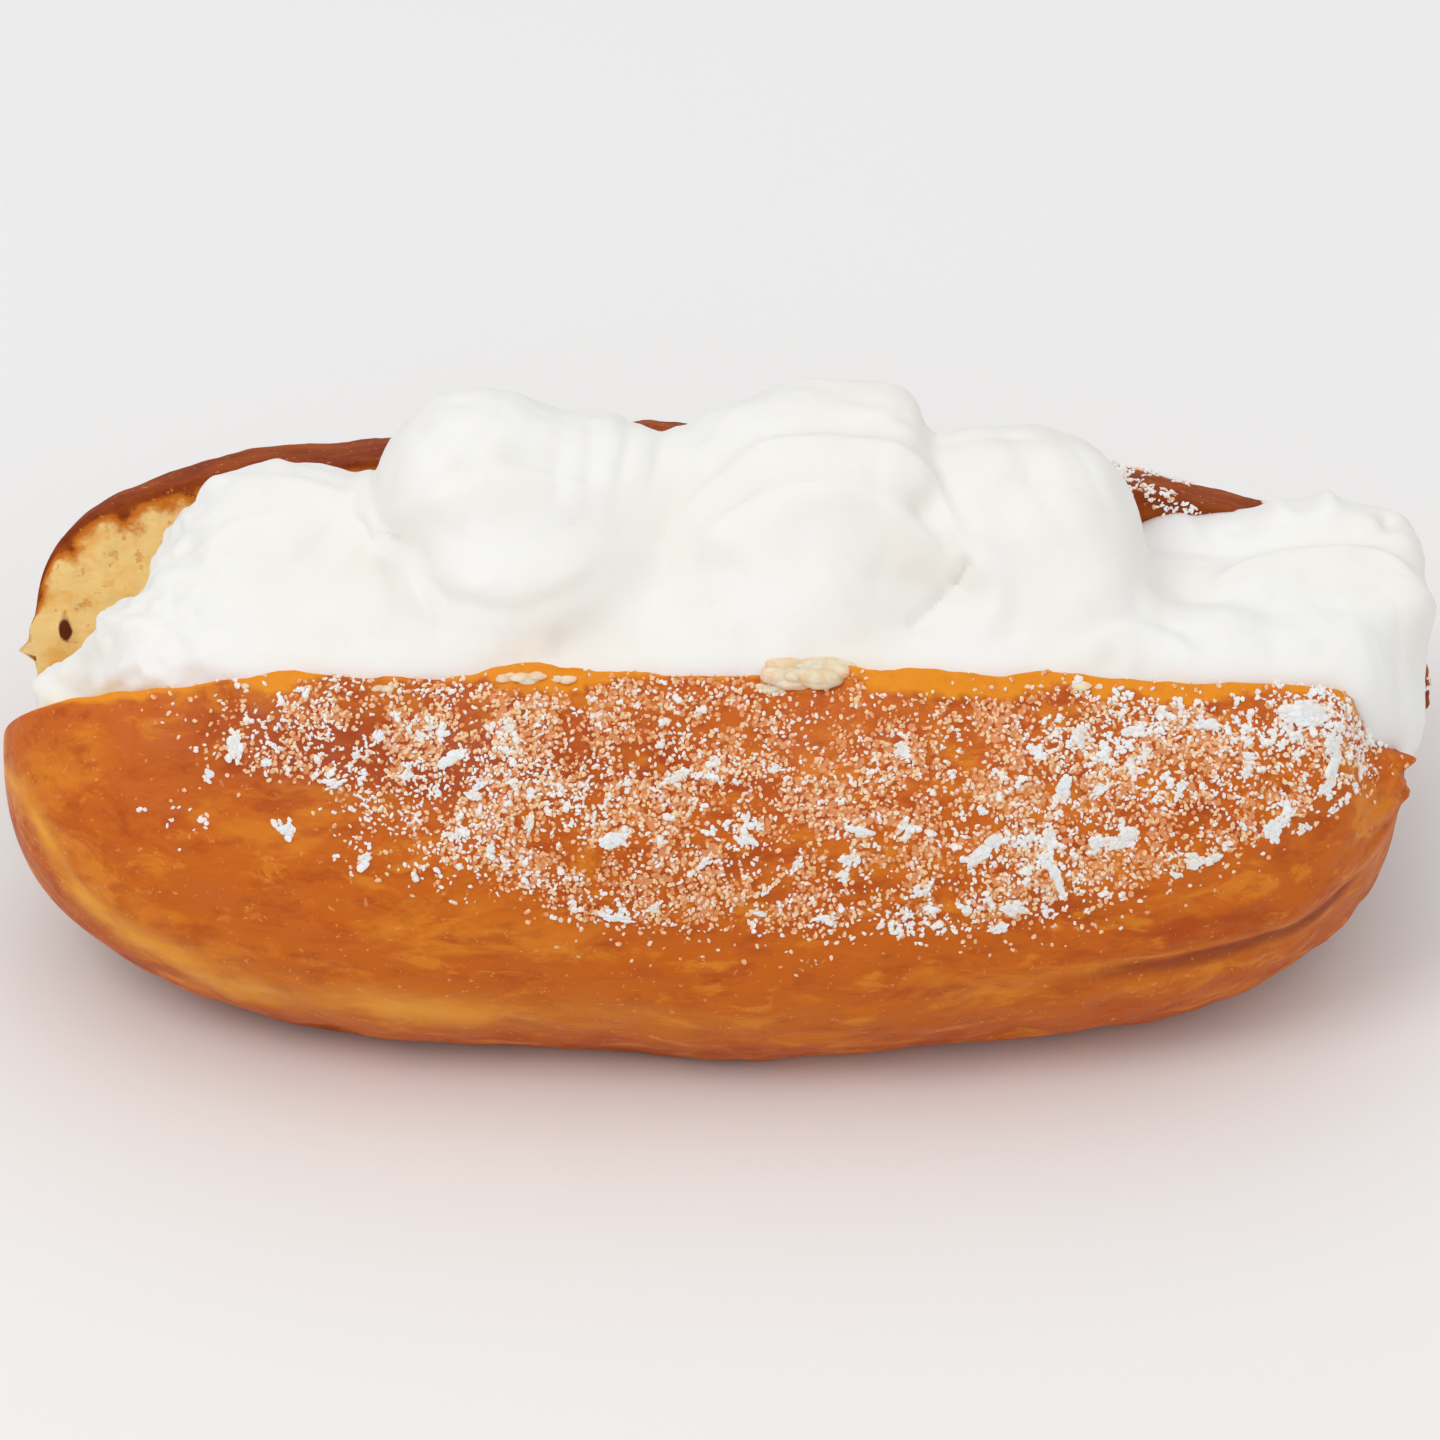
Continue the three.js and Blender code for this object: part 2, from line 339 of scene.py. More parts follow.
dough = {
    "width": 64, "height": 47, "sectionPower": 2.15,
    "cutFoot": 10, "cutGap": 9,
    "swell": {"height": 0.5, "span": 34},
    "wrinkle": {"height": 0.42, "span": 5, "stretch": 2},
    "streaks": {"height": 0.25, "span": 2.4, "stretch": 5},
    "dents": {"height": 0.55, "span": 10},
    "roughEnd": {"height": 0.8, "span": 5, "from": (48, 64), "drawnIn": 1.3, "bumps": 0.5,
                 "bumpSpan": 2.6, "bumpsFrom": (57, 68)},
    "crease": {"angle": 18.5, "drop": 4, "from": (18, 54), "fades": (64, 69), "depth": 1.2, "width": 5},
    "endDrop": {"from": (63, 72), "depth": 11},  # the front lip, where the cut runs out
    "tearPower": 4,
    "pores": {"depth": 0.9, "span": 2.6},
    "crumbSwell": {"height": 0.6, "span": 11},
    "lipRounding": 3,
}
halves = {
    "front": {"side": -1, "turn": 34, "sunk": 2.0, "ends": (-74.5, 72.0),
              "planPower": (2.5, 2.7), "sidePower": (3.1, 4.6), "grid": (300, 130, 50)},
    "back": {"side": 1, "turn": 15, "sunk": 2.3, "ends": (-73.0, 75.3),
             "planPower": (2.4, 2.3), "sidePower": (3.6, 2.2), "grid": (240, 90, 50)},
}
hinge = {"length": 139, "width": 36, "top": 12.5, "endPower": 2.8, "endHeight": 24, "flattened": 2,
         "grid": (90, 40)}
# How the lips rise and how they are shoved outwards: their noise, and their bumps for each side as
# x, width, how far
lips = {
    "rise": {"height": 0.8, "span": 5, "row": 40, "seed": 5,
             -1: [(-44, 8, 1.6), (-16, 7, 2.4), (7, 4, -0.8), (22, 11, 1.4), (50, 14, -1.0)],
             1: [(-7, 8, 1.3)]},
    "shove": {"height": 0.45, "span": 2.2, "row": 70, "seed": 9,
              -1: [(-44, 2.4, -0.9), (-36, 3, 0.6), (-28, 3, 0.5), (-20, 5, -0.9), (9, 2, 0.6),
                   (13, 2.5, -0.7), (29, 2, 0.8), (34, 3, -0.5), (48, 9, 0.3)],
              1: []},
}
# Torn points at the ends: half's side, place, radius, how far they are pulled out along x
tornPoints = [
    (-1, (71.0, -22.3, 29.6), 3.0, 3.4), (-1, (71.2, -20.3, 32.0), 2.3, 3.2),
    (1, (-72.6, 8.2, 23), 1, -1.5), (1, (-72.2, 8.6, 25.8), 0.9, -1.3), (1, (-72, 8.4, 24.4), 2, -0.7),
]
# The torn edge of the back half's crust, beside the cream at the right end
tornBit = {"at": (75.0, 5.0, 21.0), "size": (1.6, 3.9, 3.2), "angle": 70}
# The small hole in the crumb at the left end: as it is dented, and where painted shade darkens it
hole = {"x": -69.6, "up": 27.5, "width": 0.8, "tall": 1.7, "depth": 1.8,
        "at": (-69.8, 8.9, 25.6), "size": (0.8, 2.5, 1.5)}


def arch(s, power):
    return (1 - np.minimum(1, np.abs(s)) ** power) ** (1 / power)


# What a cosine or sine becomes on the slightly squared section of the bun
def squared(value):
    return np.sign(value) * np.abs(value) ** (2 / dough["sectionPower"])


def swell(x, y, z, span):
    k = 2 * math.pi / span
    first = np.sin(k * (0.9 * x + 0.5 * y) + 1.3)
    second = np.sin(k * (0.7 * y - 0.8 * z - 0.6 * x) + 4.1)
    third = np.sin(k * (0.7 * x + 1.3 * z) + 2.2)
    return (first + second + third) / 3


# Where a point of a half lies once the bun is opened
def opened(half, x, out, up):
    turn = math.radians(half["turn"])
    reach = math.hypot(dough["width"] / 2 * math.sin(turn), dough["height"] / 2 * math.cos(turn))
    foot = reach - half["sunk"] - (dough["height"] / 2 - dough["cutFoot"]) * math.cos(turn)
    rise = up - dough["cutFoot"]
    y = half["side"] * (dough["cutGap"] / 2 + out * math.cos(turn) + rise * math.sin(turn))
    z = foot + rise * math.cos(turn) - out * math.sin(turn)
    return stacked(x, y, np.maximum(0, z))


def section(half, s):
    left, right = half["ends"]
    planPower = np.where(s < 0, *half["planPower"])
    sidePower = np.where(s < 0, *half["sidePower"])
    x = (left + right) / 2 + s * (right - left) / 2
    width = dough["width"] / 2 * arch(s, planPower)
    height = dough["height"] / 2 * arch(s, sidePower)
    return x, width, height, arch(s, 2)


def shareAlong(half, x):
    left, right = half["ends"]
    return (x - (left + right) / 2) / ((right - left) / 2)


def creaseDepth(x, angle):
    crease = dough["crease"]
    along = smoothstep(x, *crease["from"]) * (1 - 0.8 * smoothstep(x, *crease["fades"]))
    wander = 1.2 * np.sin(x / 5) + 0.6 * np.sin(x / 2.1) - crease["drop"] * smoothstep(x, 50, 62)
    return along * hill(angle, crease["angle"] + wander, crease["width"])


def crustRelief(half, x, angle, share):
    arc = dough["height"] / 2 * np.radians(angle)
    offset = dough["width"] / 2 * half["side"]
    place = stacked(x, arc, offset)
    uneven = dough["swell"]["height"] * swell(x, arc, offset, dough["swell"]["span"]) * share
    wrinkle, streaks, dents = dough["wrinkle"], dough["streaks"], dough["dents"]
    drawnOut = stacked(x / wrinkle["stretch"], arc, offset)
    fine = wrinkle["height"] * roughNoise(drawnOut, wrinkle["span"], 3, 11)
    drawnOut = stacked(x / streaks["stretch"], arc + 2 * np.sin(x / 9), offset)
    ridge = 1 - np.abs(softNoise(drawnOut, streaks["span"], 15))
    fine = fine + streaks["height"] * ridge * smoothstep(softNoise(place, 14, 16), -0.2, 0.5)
    fine = fine - dents["height"] * (1 - smoothstep(cellNoise(place, dents["span"], 17), 0, 0.45))
    rough = dough["roughEnd"]
    atEnd = 0.35 + 0.65 * smoothstep(x, *rough["from"])
    fine = fine + rough["height"] * atEnd * (np.abs(softNoise(place, rough["span"], 18)) - 0.35)
    uneven = uneven + fine * smoothstep(share, 0, 0.35)
    if half["side"] > 0:
        return uneven
    bumps = rough["bumps"] * roughNoise(place, rough["bumpSpan"], 2, 19)
    ended = (bumps - rough["drawnIn"] * hill(angle, 12, 24)) * smoothstep(x, *rough["bumpsFrom"])
    return uneven + (ended - dough["crease"]["depth"] * creaseDepth(x, angle) * share)


def lipUneven(half, x, kind):
    lip = lips[kind]
    total = lip["height"] * roughNoise(stacked(x, lip["row"] * half["side"], 0), lip["span"], 3, lip["seed"])
    for at, width, far in lip[half["side"]]:
        total = total + far * hill(x, at, width)
    return total


# How far the lip stands above or below the plain section
def lipRise(half, x, share):
    drop = dough["endDrop"]
    fallen = drop["depth"] * smoothstep(x, *drop["from"]) * (half["side"] < 0)
    return lipUneven(half, x, "rise") * share - fallen


# A place on the crust for a share along the half and an angle up its section
def onCrust(half, s, angle, shove=0):
    x, width, height, share = section(half, s)
    across, along = np.cos(np.radians(angle)), np.sin(np.radians(angle))
    relief = crustRelief(half, x, angle, share)
    torn = lipRise(half, x, share) * np.maximum(0, along) ** dough["tearPower"]
    out = width * np.maximum(0, squared(across)) + relief * across
    out = out + shove * smoothstep(angle, 82, 90)
    return opened(half, x, out, dough["height"] / 2 + height * squared(along) + relief * along + torn)


# The cut face of a half, from its upper lip down to the lower one
def cutFace(name, s, down, shove):
    half = halves[name]
    x, _, height, share = section(half, s)
    middle = dough["height"] / 2
    up = height * np.cos(np.pi * down)
    away = np.sin(np.pi * down) * share
    bulge, pores = dough["crumbSwell"], dough["pores"]
    crumb = bulge["height"] * swell(x, up, dough["cutGap"] * half["side"], bulge["span"])
    place = stacked(x, up, 60.0 * half["side"])
    pore = 1 - smoothstep(cellNoise(place, pores["span"], 3), 0.1, 0.55)
    crumb = crumb + 0.5 * roughNoise(place, 3, 3, 21) - pores["depth"] * pore
    if name == "back":
        dented = hill(x, hole["x"], hole["width"]) * hill(up, hole["up"] - middle, hole["tall"])
        crumb = crumb - hole["depth"] * dented
    torn = lipRise(half, x, share) * np.maximum(0, np.cos(np.pi * down)) ** dough["tearPower"]
    edge = shove * smoothstep(-down, -0.12, 0)
    return opened(half, x, crumb * away + edge, middle + up + torn), height - np.abs(up)


def pullTorn(half, points):
    for side, at, radius, pull in tornPoints:
        if side == half["side"]:
            near = np.exp(-((points - at) ** 2).sum(-1) / radius ** 2)
            points[..., 0] += pull * near * (1 + 0.6 * softNoise(points, 1.3, 72))
    return points


# Rounds the long edge of a half at each end of its rings, where its crust meets the cut
def roundLips(rings, *columns):
    sides = rings.shape[1]
    steps = np.arange(sides)
    gap = np.min([np.abs((steps - column + sides // 2) % sides - sides // 2) for column in columns], axis=0)
    weight = 0.5 * np.clip(1 - gap / 8, 0, 1)[None, :, None]
    for _ in range(dough["lipRounding"]):
        middle = (np.roll(rings, 1, axis=1) + np.roll(rings, -1, axis=1)) / 2
        rings = rings + weight * (middle - rings)
    return rings


def bunHalf(name):
    half = halves[name]
    stations, crustSteps, cutSteps = half["grid"]
    k = np.linspace(-1, 1, stations + 2)[1:-1]
    s = (np.sign(k) * (1 - (1 - np.abs(k)) ** 1.6))[:, None]
    x, _, _, share = section(half, s)
    shove = lipUneven(half, x, "shove") * share
    angle = (-90 + 180 * (1 - (1 - np.linspace(0, 1, crustSteps + 1)) ** 1.15))[None]
    down = np.linspace(0, 1, cutSteps + 1)[None, 1:-1]
    crust = onCrust(half, s, angle, shove)
    cut, cutDepth = cutFace(name, s, down, shove)
    rings = np.concatenate([crust, cut], axis=1)
    rings = pullTorn(half, roundLips(rings, crustSteps, 0))
    depth = np.concatenate([0 * angle + 0 * x, cutDepth], axis=1)
    angles = np.concatenate([angle + 0 * x, 90 * np.cos(np.pi * down) + 0 * x], axis=1)
    poles = [opened(half, end, 0, dough["height"] / 2) for end in half["ends"]]
    facts = {"crumbDepth": depth, "crustAngle": angles, "made": 1, "side": half["side"]}
    return ringObject(name + "Half", rings, poles, facts)


def bunHinge():
    rows, sides = hinge["grid"]
    left, right = halves["back"]["ends"]
    s = np.sin(np.pi / 2 * np.linspace(-1, 1, rows + 2)[1:-1])[:, None]
    angle = 2 * np.pi * (np.arange(sides) / sides)[None]
    x = s * hinge["length"] / 2
    high, arched = hinge["endHeight"], arch(2 * x / (right - left), hinge["endPower"])
    floor = np.maximum(0, high - (high + hinge["flattened"]) * arched)
    y = hinge["width"] / 2 * arch(s, 2) * np.cos(angle)
    top = np.maximum(0, np.sin(angle)) * (hinge["top"] - floor) * arch(s, 3)
    ends = [(-hinge["length"] / 2, 0, floor[0, 0]), (hinge["length"] / 2, 0, floor[-1, 0])]
    facts = {"crumbDepth": np.where(np.sin(angle) > 0.05, 6, 0), "crustAngle": -90, "made": 1, "side": 0}
    return ringObject("hinge", stacked(x, y, floor + top), ends, facts)


# Points that the join has made take their facts from the nearest point that had them
def fillFacts(thing):
    made = readAttribute(thing, "made")
    points = pointsOf(thing)
    known = np.nonzero(made > 0.5)[0]
    missing = np.nonzero(made <= 0.5)[0]
    tree = KDTree(len(known))
    for index in known:
        tree.insert(points[index], int(index))
    tree.balance()
    nearest = [tree.find(points[index])[1] for index in missing]
    for key in ("crumbDepth", "crustAngle", "side"):
        values = readAttribute(thing, key)
        values[missing] = values[nearest]
        writeAttribute(thing, key, values)


def makeTornBit():
    at = np.array(tornBit["at"])
    points, faces = ball(4)
    rough = 1 + 0.5 * roughNoise(points * 1.2 + at, 0.8, 3, 71)
    facts = {"crumbDepth": 0, "crustAngle": tornBit["angle"], "made": 1, "side": 1}
    filled = {key: np.full(len(points), value) for key, value in facts.items()}
    return meshObject("tornBit", points * rough[:, None] * tornBit["size"] + at, faces, filled)


def makeBun():
    bun = bunHalf("front")
    bun.name = "bunDough"
    others = [bunHalf("back"), bunHinge(), makeTornBit()]
    joinSolids(bun, others, "UNION")
    removeObjects(*others)
    fillFacts(bun)
    print("bun:", len(bun.data.polygons), "faces")
    return bun


# Where the crust is pale, dark, bare or sugared, as shares from 0 to 1 at every point of the bun
crustTones = {
    "belt": {"width": 8, "back": 4,  # angle of the pale belt, for shares along the front half
             "front": [(-0.96, 50), (-0.92, 32), (-0.88, 20), (-0.8, 11), (-0.6, 9), (-0.2, 12)]},
    "rims": [  # x, width, strength
        (-59, 6, 0.8), (-44, 3.5, 1.1), (-17, 7, 1.1), (22, 12, 1.1), (48, 12, 0.9), (70, 4.5, 2.0),
    ],
    "carried": {"depth": 1.1, "ragged": 0.9, "from": (25, 42), "more": 7, "less": 0.8},
    "reddened": {"x": -33, "width": 20, "angle": 76, "tall": 10},
    "bareEnd": (66.8, 69.2),  # x from where the front half has ever less sugar, and next to none
}
# Lowest angle of the sugar along the front half
sugarEdge = [(-0.8, 82), (-0.72, 74), (-0.56, 68), (-0.38, 56), (-0.2, 46), (-0.1, 42), (0.2, 40), (0.48, 37),
             (0.69, 48), (0.83, 54), (0.96, 66)]
sugarDrifts = [  # share along the front half, angle, width in share, width in degrees, strength
    (-0.42, 80, 0.13, 9, 0.75), (-0.6, 81, 0.07, 7, 0.12), (-0.5, 72, 0.06, 5, 0.35),
    (-0.3, 72, 0.07, 6, 0.45),
    (-0.33, 60, 0.03, 8, 0.3), (-0.25, 51, 0.05, 4, 0.35), (-0.15, 44, 0.07, 2.2, 1.2), (0, 74, 0.05, 3, 0.8),
    (-0.2, 64, 0.02, 4, 0.4), (-0.1, 84, 0.12, 4, 0.2), (0.27, 60, 0.05, 4, 0.5), (0.08, 62, 0.1, 4, 0.2),
    (0.22, 41, 0.09, 2.5, 0.8), (0.46, 58, 0.07, 8, 0.6), (0.42, 46, 0.06, 5, 0.5), (0.33, 42, 0.05, 3, 0.5),
    (0.52, 76, 0.08, 7, 0.45), (0.62, 66, 0.07, 5, 0.35), (0.66, 82, 0.08, 6, 0.7), (0.84, 84, 0.1, 7, 2.2),
    (0.88, 72, 0.05, 7, 1.3), (0.85, 60, 0.06, 5, 1), (0.72, 52, 0.12, 2.5, 0.7), (0.57, 48, 0.05, 3, 0.4),
    (-0.72, 59, 0.03, 4, 0.9), (-0.49, 56, 0.015, 4, 0.8), (-0.4, 55, 0.02, 3, 0.5), (0.1, 52, 0.12, 5, 0.15),
]


# How thick heaped flakes, fine specks and half-melted grains lie, for shares s along the halves
def sugarCover(points, s, angle, side, depth):
    front = side < 0
    edge = np.interp(s, *zip(*sugarEdge)) + 4 * softNoise(points, 9, 33)
    reach = smoothstep(angle, edge - 2, edge + 5)
    drifts = sum(strength * hill(s, at, width) * hill(angle, high, tall)
                 for at, high, width, tall, strength in sugarDrifts)
    heaped = 1 + 2.2 * smoothstep(s, 0.4, 0.6) * smoothstep(angle, 62, 76) + 0.8 * smoothstep(-s, 0.15, 0.35)
    drifts = heaped * drifts
    # On the back half the sugar lies in streaks that slant as they do in the picture
    u, v = inPicture(points)
    streaky = smoothstep(softNoise(stacked(0.3 * u, v + 0.33 * u, 0), 1.1, 35), -0.25, 0.2)
    backCover = smoothstep(s, 0.3, 0.5) * smoothstep(angle, 40, 62) * streaky
    clumpy = smoothstep(0.7 * softNoise(points, 5, 31) + 0.8 * softNoise(points, 2.4, 32), -0.1, 0.6)
    heavy = (0.05 * reach * smoothstep(s, -0.85, -0.5) + 0.7 * drifts) * (0.1 + 1.4 * clumpy)
    started = smoothstep(s, -0.8, -0.45)
    zones = started * (1.35 - 0.85 * smoothstep(s, -0.3, -0.05) + 0.25 * smoothstep(s, 0.3, 0.5))
    speckled = smoothstep(softNoise(points, 2.2, 34) + 0.6 * softNoise(points, 6, 36), -0.5, 0.6)
    fine = (0.5 * reach * zones + 0.4 * drifts) * (0.1 + speckled)
    patchy = smoothstep(softNoise(points, 1.8, 37) + 0.7 * softNoise(points, 5, 38), -0.6, 0.4)
    underLip = 1 - 0.5 * smoothstep(angle, 82, 88) * smoothstep(-s, 0.2, 0.35)
    melting = 0.85 * reach * smoothstep(s, -0.86, -0.5) * underLip + 0.15 * np.minimum(drifts, 1)
    strays = 0.14 * smoothstep(angle, edge - 13, edge) * smoothstep(s, -0.6, -0.4)
    melting = melting * (0.15 + patchy) + strays
    shown = np.clip(1 - depth / 0.4, 0, 1) * (side != 0)
    covers = [(heavy, 0.4), (fine, 1.2), (melting, 0.2)]  # with the back half's share
    return [np.clip(np.where(front, cover, back * backCover), 0, 1.2) * shown for cover, back in covers]


def toneBun(bun):
    points = pointsOf(bun)
    x = points[:, 0]
    angle, side, depth = (readAttribute(bun, key) for key in ("crustAngle", "side", "crumbDepth"))
    front = side < 0
    s = np.where(front, shareAlong(halves["front"], x), shareAlong(halves["back"], x))
    belt = crustTones["belt"]
    centre = np.where(front, np.interp(s, *zip(*belt["front"])), belt["back"])
    fade = np.where(front, 1 - 0.85 * smoothstep(s, -0.5, 0.1), 0.5)
    writeAttribute(bun, "belt", hill(angle + 5 * softNoise(points, 12, 41), centre, belt["width"]) * fade)
    # The crease share also paints shade into the crust's crease.
    writeAttribute(bun, "crease", np.where(front, creaseDepth(x, angle), 0))

    # The back's crust is carried over its rim onto the cut
    carried = crustTones["carried"]
    reach = carried["depth"] + carried["ragged"] * roughNoise(points, 6, 3, 45)
    reach = reach * (1 - carried["less"] * smoothstep(-x, *carried["from"]))
    reach = reach + carried["more"] * smoothstep(x, *carried["from"])
    depth = np.where(side > 0, np.maximum(0, depth - reach), depth)
    writeAttribute(bun, "crumbDepth", depth)
    # Painted shade inside the small hole at the left end.
    away = (((points - hole["at"]) / hole["size"]) ** 2).sum(1)
    writeAttribute(bun, "hole", np.exp(-away * (1 + 0.7 * softNoise(points, 1.2, 46))))

    rim = sum(strength * hill(x, at, width) for at, width, strength in crustTones["rims"])
    wavy = 1.6 * softNoise(points, 3, 43) + 0.9 * softNoise(points, 1.2, 44)
    rim = smoothstep(angle + wavy - 4 * (1 - np.minimum(rim, 2)), 85.6, 86.8) * front
    writeAttribute(bun, "rim", rim)
    bare = (1 - 0.85 * rim) * (1 - 0.92 * smoothstep(x, *crustTones["bareEnd"]) * front)
    covers = sugarCover(points, s, angle, side, depth)
    for key, cover in zip(("sugar", "dust", "melting"), covers):
        writeAttribute(bun, key, cover * bare)
    red = crustTones["reddened"]
    reddened = hill(x, red["x"], red["width"]) * hill(angle, red["angle"], red["tall"]) * front
    writeAttribute(bun, "reddened", reddened)


crustColours = {
    "upper": (207, 104, 30), "middle": (205, 103, 20), "low": (194, 90, 16),
    # The crease tone is partly the crust's own browner tone and partly painted shade in the crease.
    "under": (150, 66, 18), "belt": (240, 162, 56), "crease": (138, 38, 14),
    # The bright tone is partly the crust's own lighter mottling and partly painted sheen.
    "brightAndSheen": (228, 136, 36), "scorch": (168, 62, 18), "reddened": (162, 62, 30),
    # The fleck tone is painted glints on the crust's bumps.
    "rim": (238, 148, 30), "back": (122, 46, 22), "glintFleck": (236, 164, 98),
    "crumb": (250, 214, 142), "crumbDeep": (242, 182, 94), "crumbEdge": (206, 116, 28),
    # The hole tone is painted shade inside the hole.
    # The pit tone is painted shade in the crumb's pores.
    "pitShade": (226, 160, 80), "hole": (96, 38, 16), "melted": (234, 162, 112),
    # The between tone is painted shade around the half-melted sugar, over darker crust mottling.
    "between": (168, 64, 26),
}
crustColours = {name: paint(*rgb) for name, rgb in crustColours.items()}
# The bright patches are partly the crust's own lighter mottling and partly painted sheen; the scorch patches
# are darker crust.
crustMottle = [  # colour, share, low and high level of the noise, its span, detail, roughness, stretch, warp
    ("brightAndSheen", 0.7, 0.5, 0.68, 8, 4, 0.6, (0.45, 1, 1), 0.8),
    ("scorch", 0.7, 0.54, 0.7, 10, 4, 0.62, (0.6, 1, 1.2), 0.6),
    ("scorch", 0.5, 0.5, 0.7, 2.2, 4, 0.6, (0.35, 1, 1), 0),
    ("brightAndSheen", 0.75, 0.53, 0.66, 3.4, 5, 0.65, (0.4, 1, 1), 0.5),
]


# The crust's colour without its sugar: its own tones, darker towards the underside, with painted sheen,
# painted glints and painted shade in its crease
def crustColour(shader, isBack):
    tone = crustColours
    angle = shader.attribute("crustAngle")
    shifted = shader.sum(angle, shader.spread(shader.noise(14, 3, 0.55, warp=0.4), 0.25, 0.75, -14, 14))
    stops = [(0.1, tone["under"]), (0.46, tone["low"]), (0.68, tone["middle"]), (0.9, tone["upper"])]
    colour = shader.ramp(shader.spread(shifted, -90, 90, kind="LINEAR"), stops)
    for name, share, *mottle in crustMottle:
        colour = shader.blend(shader.times(shader.patches(*mottle), share), colour, tone[name])
    along = (0.45, 1, 1)
    uneven = shader.spread(shader.noise(6, 5, 0.65, stretch=along), 0.35, 0.65, 0.6, 1.0)
    broken = shader.spread(shader.noise(6, 4, 0.6, stretch=along), 0.35, 0.6, 0.45, 1.0)
    layers = [
        ("reddened", shader.times(shader.attribute("reddened"), 0.8)),
        ("back", shader.times(isBack, shader.times(uneven, shader.spread(angle, -10, 40, 0, 0.95)))),
        # Painted shade in the crease, over the crust's own browner tone there.
        ("crease", shader.spread(shader.attribute("crease"), 0.3, 1.0)),
        ("belt", shader.times(shader.attribute("belt"), broken)),
        ("rim", shader.attribute("rim")),
        # Light peach flecks painted as glints all over the crust.
        ("glintFleck", shader.times(shader.patches(0.64, 0.7, 0.8, 3, 0.6), 0.6)),
    ]
    for name, share in layers:
        colour = shader.blend(share, colour, tone[name])
    return colour


# Shares of half-melted sugar: the spots themselves, and the painted shade around them, over darker crust
# mottling
def meltedShares(shader):
    melting = shader.attribute("melting")
    wavy = shader.spread(shader.noise(0.5, 2), 0.2, 0.8, -0.2, 0.2, "LINEAR")
    spots = shader.sum(shader.times(melting, 0.5), shader.times(shader.sum(shader.cells(0.8), wavy), -1))
    return shader.spread(spots, 0.0, 0.06), shader.times(shader.patches(0.47, 0.6, 1.3, 3, 0.6), melting)


def crustMaterial():
    shader = Shader("friedCrust")
    tone = crustColours
    isBack = shader.spread(shader.attribute("side"), 0.2, 0.8)
    colour = crustColour(shader, isBack)
    cutAway = shader.attribute("crumbDepth")
    uneven = shader.spread(shader.noise(4.5, 5, 0.62), 0.3, 0.7, -2.2, 2.2, "LINEAR")
    depth = shader.sum(cutAway, shader.times(uneven, shader.spread(cutAway, 0.1, 1.6)))
    inner = shader.blend(shader.patches(0.42, 0.66, 5, 4, 0.6), tone["crumb"], tone["crumbDeep"])
    # Pores in the crumb: dented by a bump and painted darker as shade.
    pits = shader.patches(0.6, 0.68, 1.7, 3, 0.6)
    inner = shader.blend(shader.times(pits, 0.7), inner, tone["pitShade"])
    colour = shader.blend(shader.spread(depth, 0.15, 0.9), colour, tone["crumbEdge"])
    isCrumb = shader.spread(depth, 0.9, 3.2)
    colour = shader.blend(isCrumb, colour, inner)
    # Painted shade inside the hole.
    colour = shader.blend(shader.spread(shader.attribute("hole"), 0.35, 0.6), colour, tone["hole"])
    melted, between = meltedShares(shader)
    # Painted shade around the sugar spots, over darker crust mottling.
    colour = shader.blend(shader.times(between, 0.65), colour, tone["between"])
    colour = shader.blend(shader.times(melted, 0.8), colour, tone["melted"])
    wrinkles = shader.noise(1.6, 4, 0.6, stretch=(0.6, 1, 1))
    dull = shader.most(shader.most(isCrumb, melted), isBack)
    rough = shader.most(shader.spread(wrinkles, 0.3, 0.7, 0.38, 0.55), shader.times(dull, 0.85))
    coarse = shader.bump(shader.noise(4, 3, 0.55, stretch=(0.5, 1, 1)), 0.9, 0.5)
    fine = shader.bump(wrinkles, 0.3, 0.75, below=coarse)
    bumped = shader.bump(shader.times(pits, isCrumb), -0.3, 0.4, below=fine)
    shader.set(Base_Color=colour, Roughness=rough, Normal=bumped, Specular_IOR_Level=0.16)
    shader.set(Subsurface_Weight=0.1, Subsurface_Scale=1.5 * mm, Subsurface_Radius=(1.0, 0.35, 0.1))
    return shader.material


# The cream

cream = {
    "blend": 1.1, "axis": (-5, 29), "grid": (400, 240), "endCrowding": 0.25,
    "reach": 50, "halfLength": 90, "steps": 60,
}
mounds = [  # middle, half sizes, lean, power. The last four fill the gaps along the front lip
    ((0, -6, 23), (71.5, 19, 13.5), 0, 2.6), ((0, -9, 29), (62, 16, 15), 0, 3),
    ((-44, 0, 33.5), (16.5, 15, 16.2), 0, 2.2), ((-49, -11, 33), (16, 11.5, 12.5), 0, 2.2),
    ((-25, 1, 41), (10.5, 13, 17.5), 0, 2.6), ((-15, 1, 40), (15, 13, 15.7), 6, 2.2),
    ((-20, -9, 39), (13, 12, 13.3), 0, 2.2), ((-28, -14, 34), (10, 9, 11), 0, 2.2),
    ((5, 3, 39.5), (13, 12, 16.4), -6, 2.2), ((13.6, 3, 39.3), (8.9, 12, 16.8), 0, 5),
    ((9, -5, 38), (16.5, 11, 15.8), 0, 2.4), ((8, -13, 36), (14.5, 10, 13.5), 0, 2.2),
    ((31, 0, 38), (13.8, 14, 15.8), 0, 2.6), ((36, -9, 34), (12, 12, 14), 0, 2.2),
    ((58, 2, 26.5), (15.8, 15, 12.9), 0, 4), ((65.3, 2, 32), (9.6, 11, 8.6), 0, 4),
    ((59.5, -10, 31), (14, 12.5, 9.5), 0, 2.6),
    ((-25, -17, 37.5), (31, 8, 6.5), 0, 3), ((24, -17, 37.5), (38, 8, 6.5), 0, 3),
    ((-66, -9, 28.5), (6.3, 5, 4), 0, 2.2), ((69.4, -14, 29.5), (3.9, 5, 4.4), 0, 2.2),
]
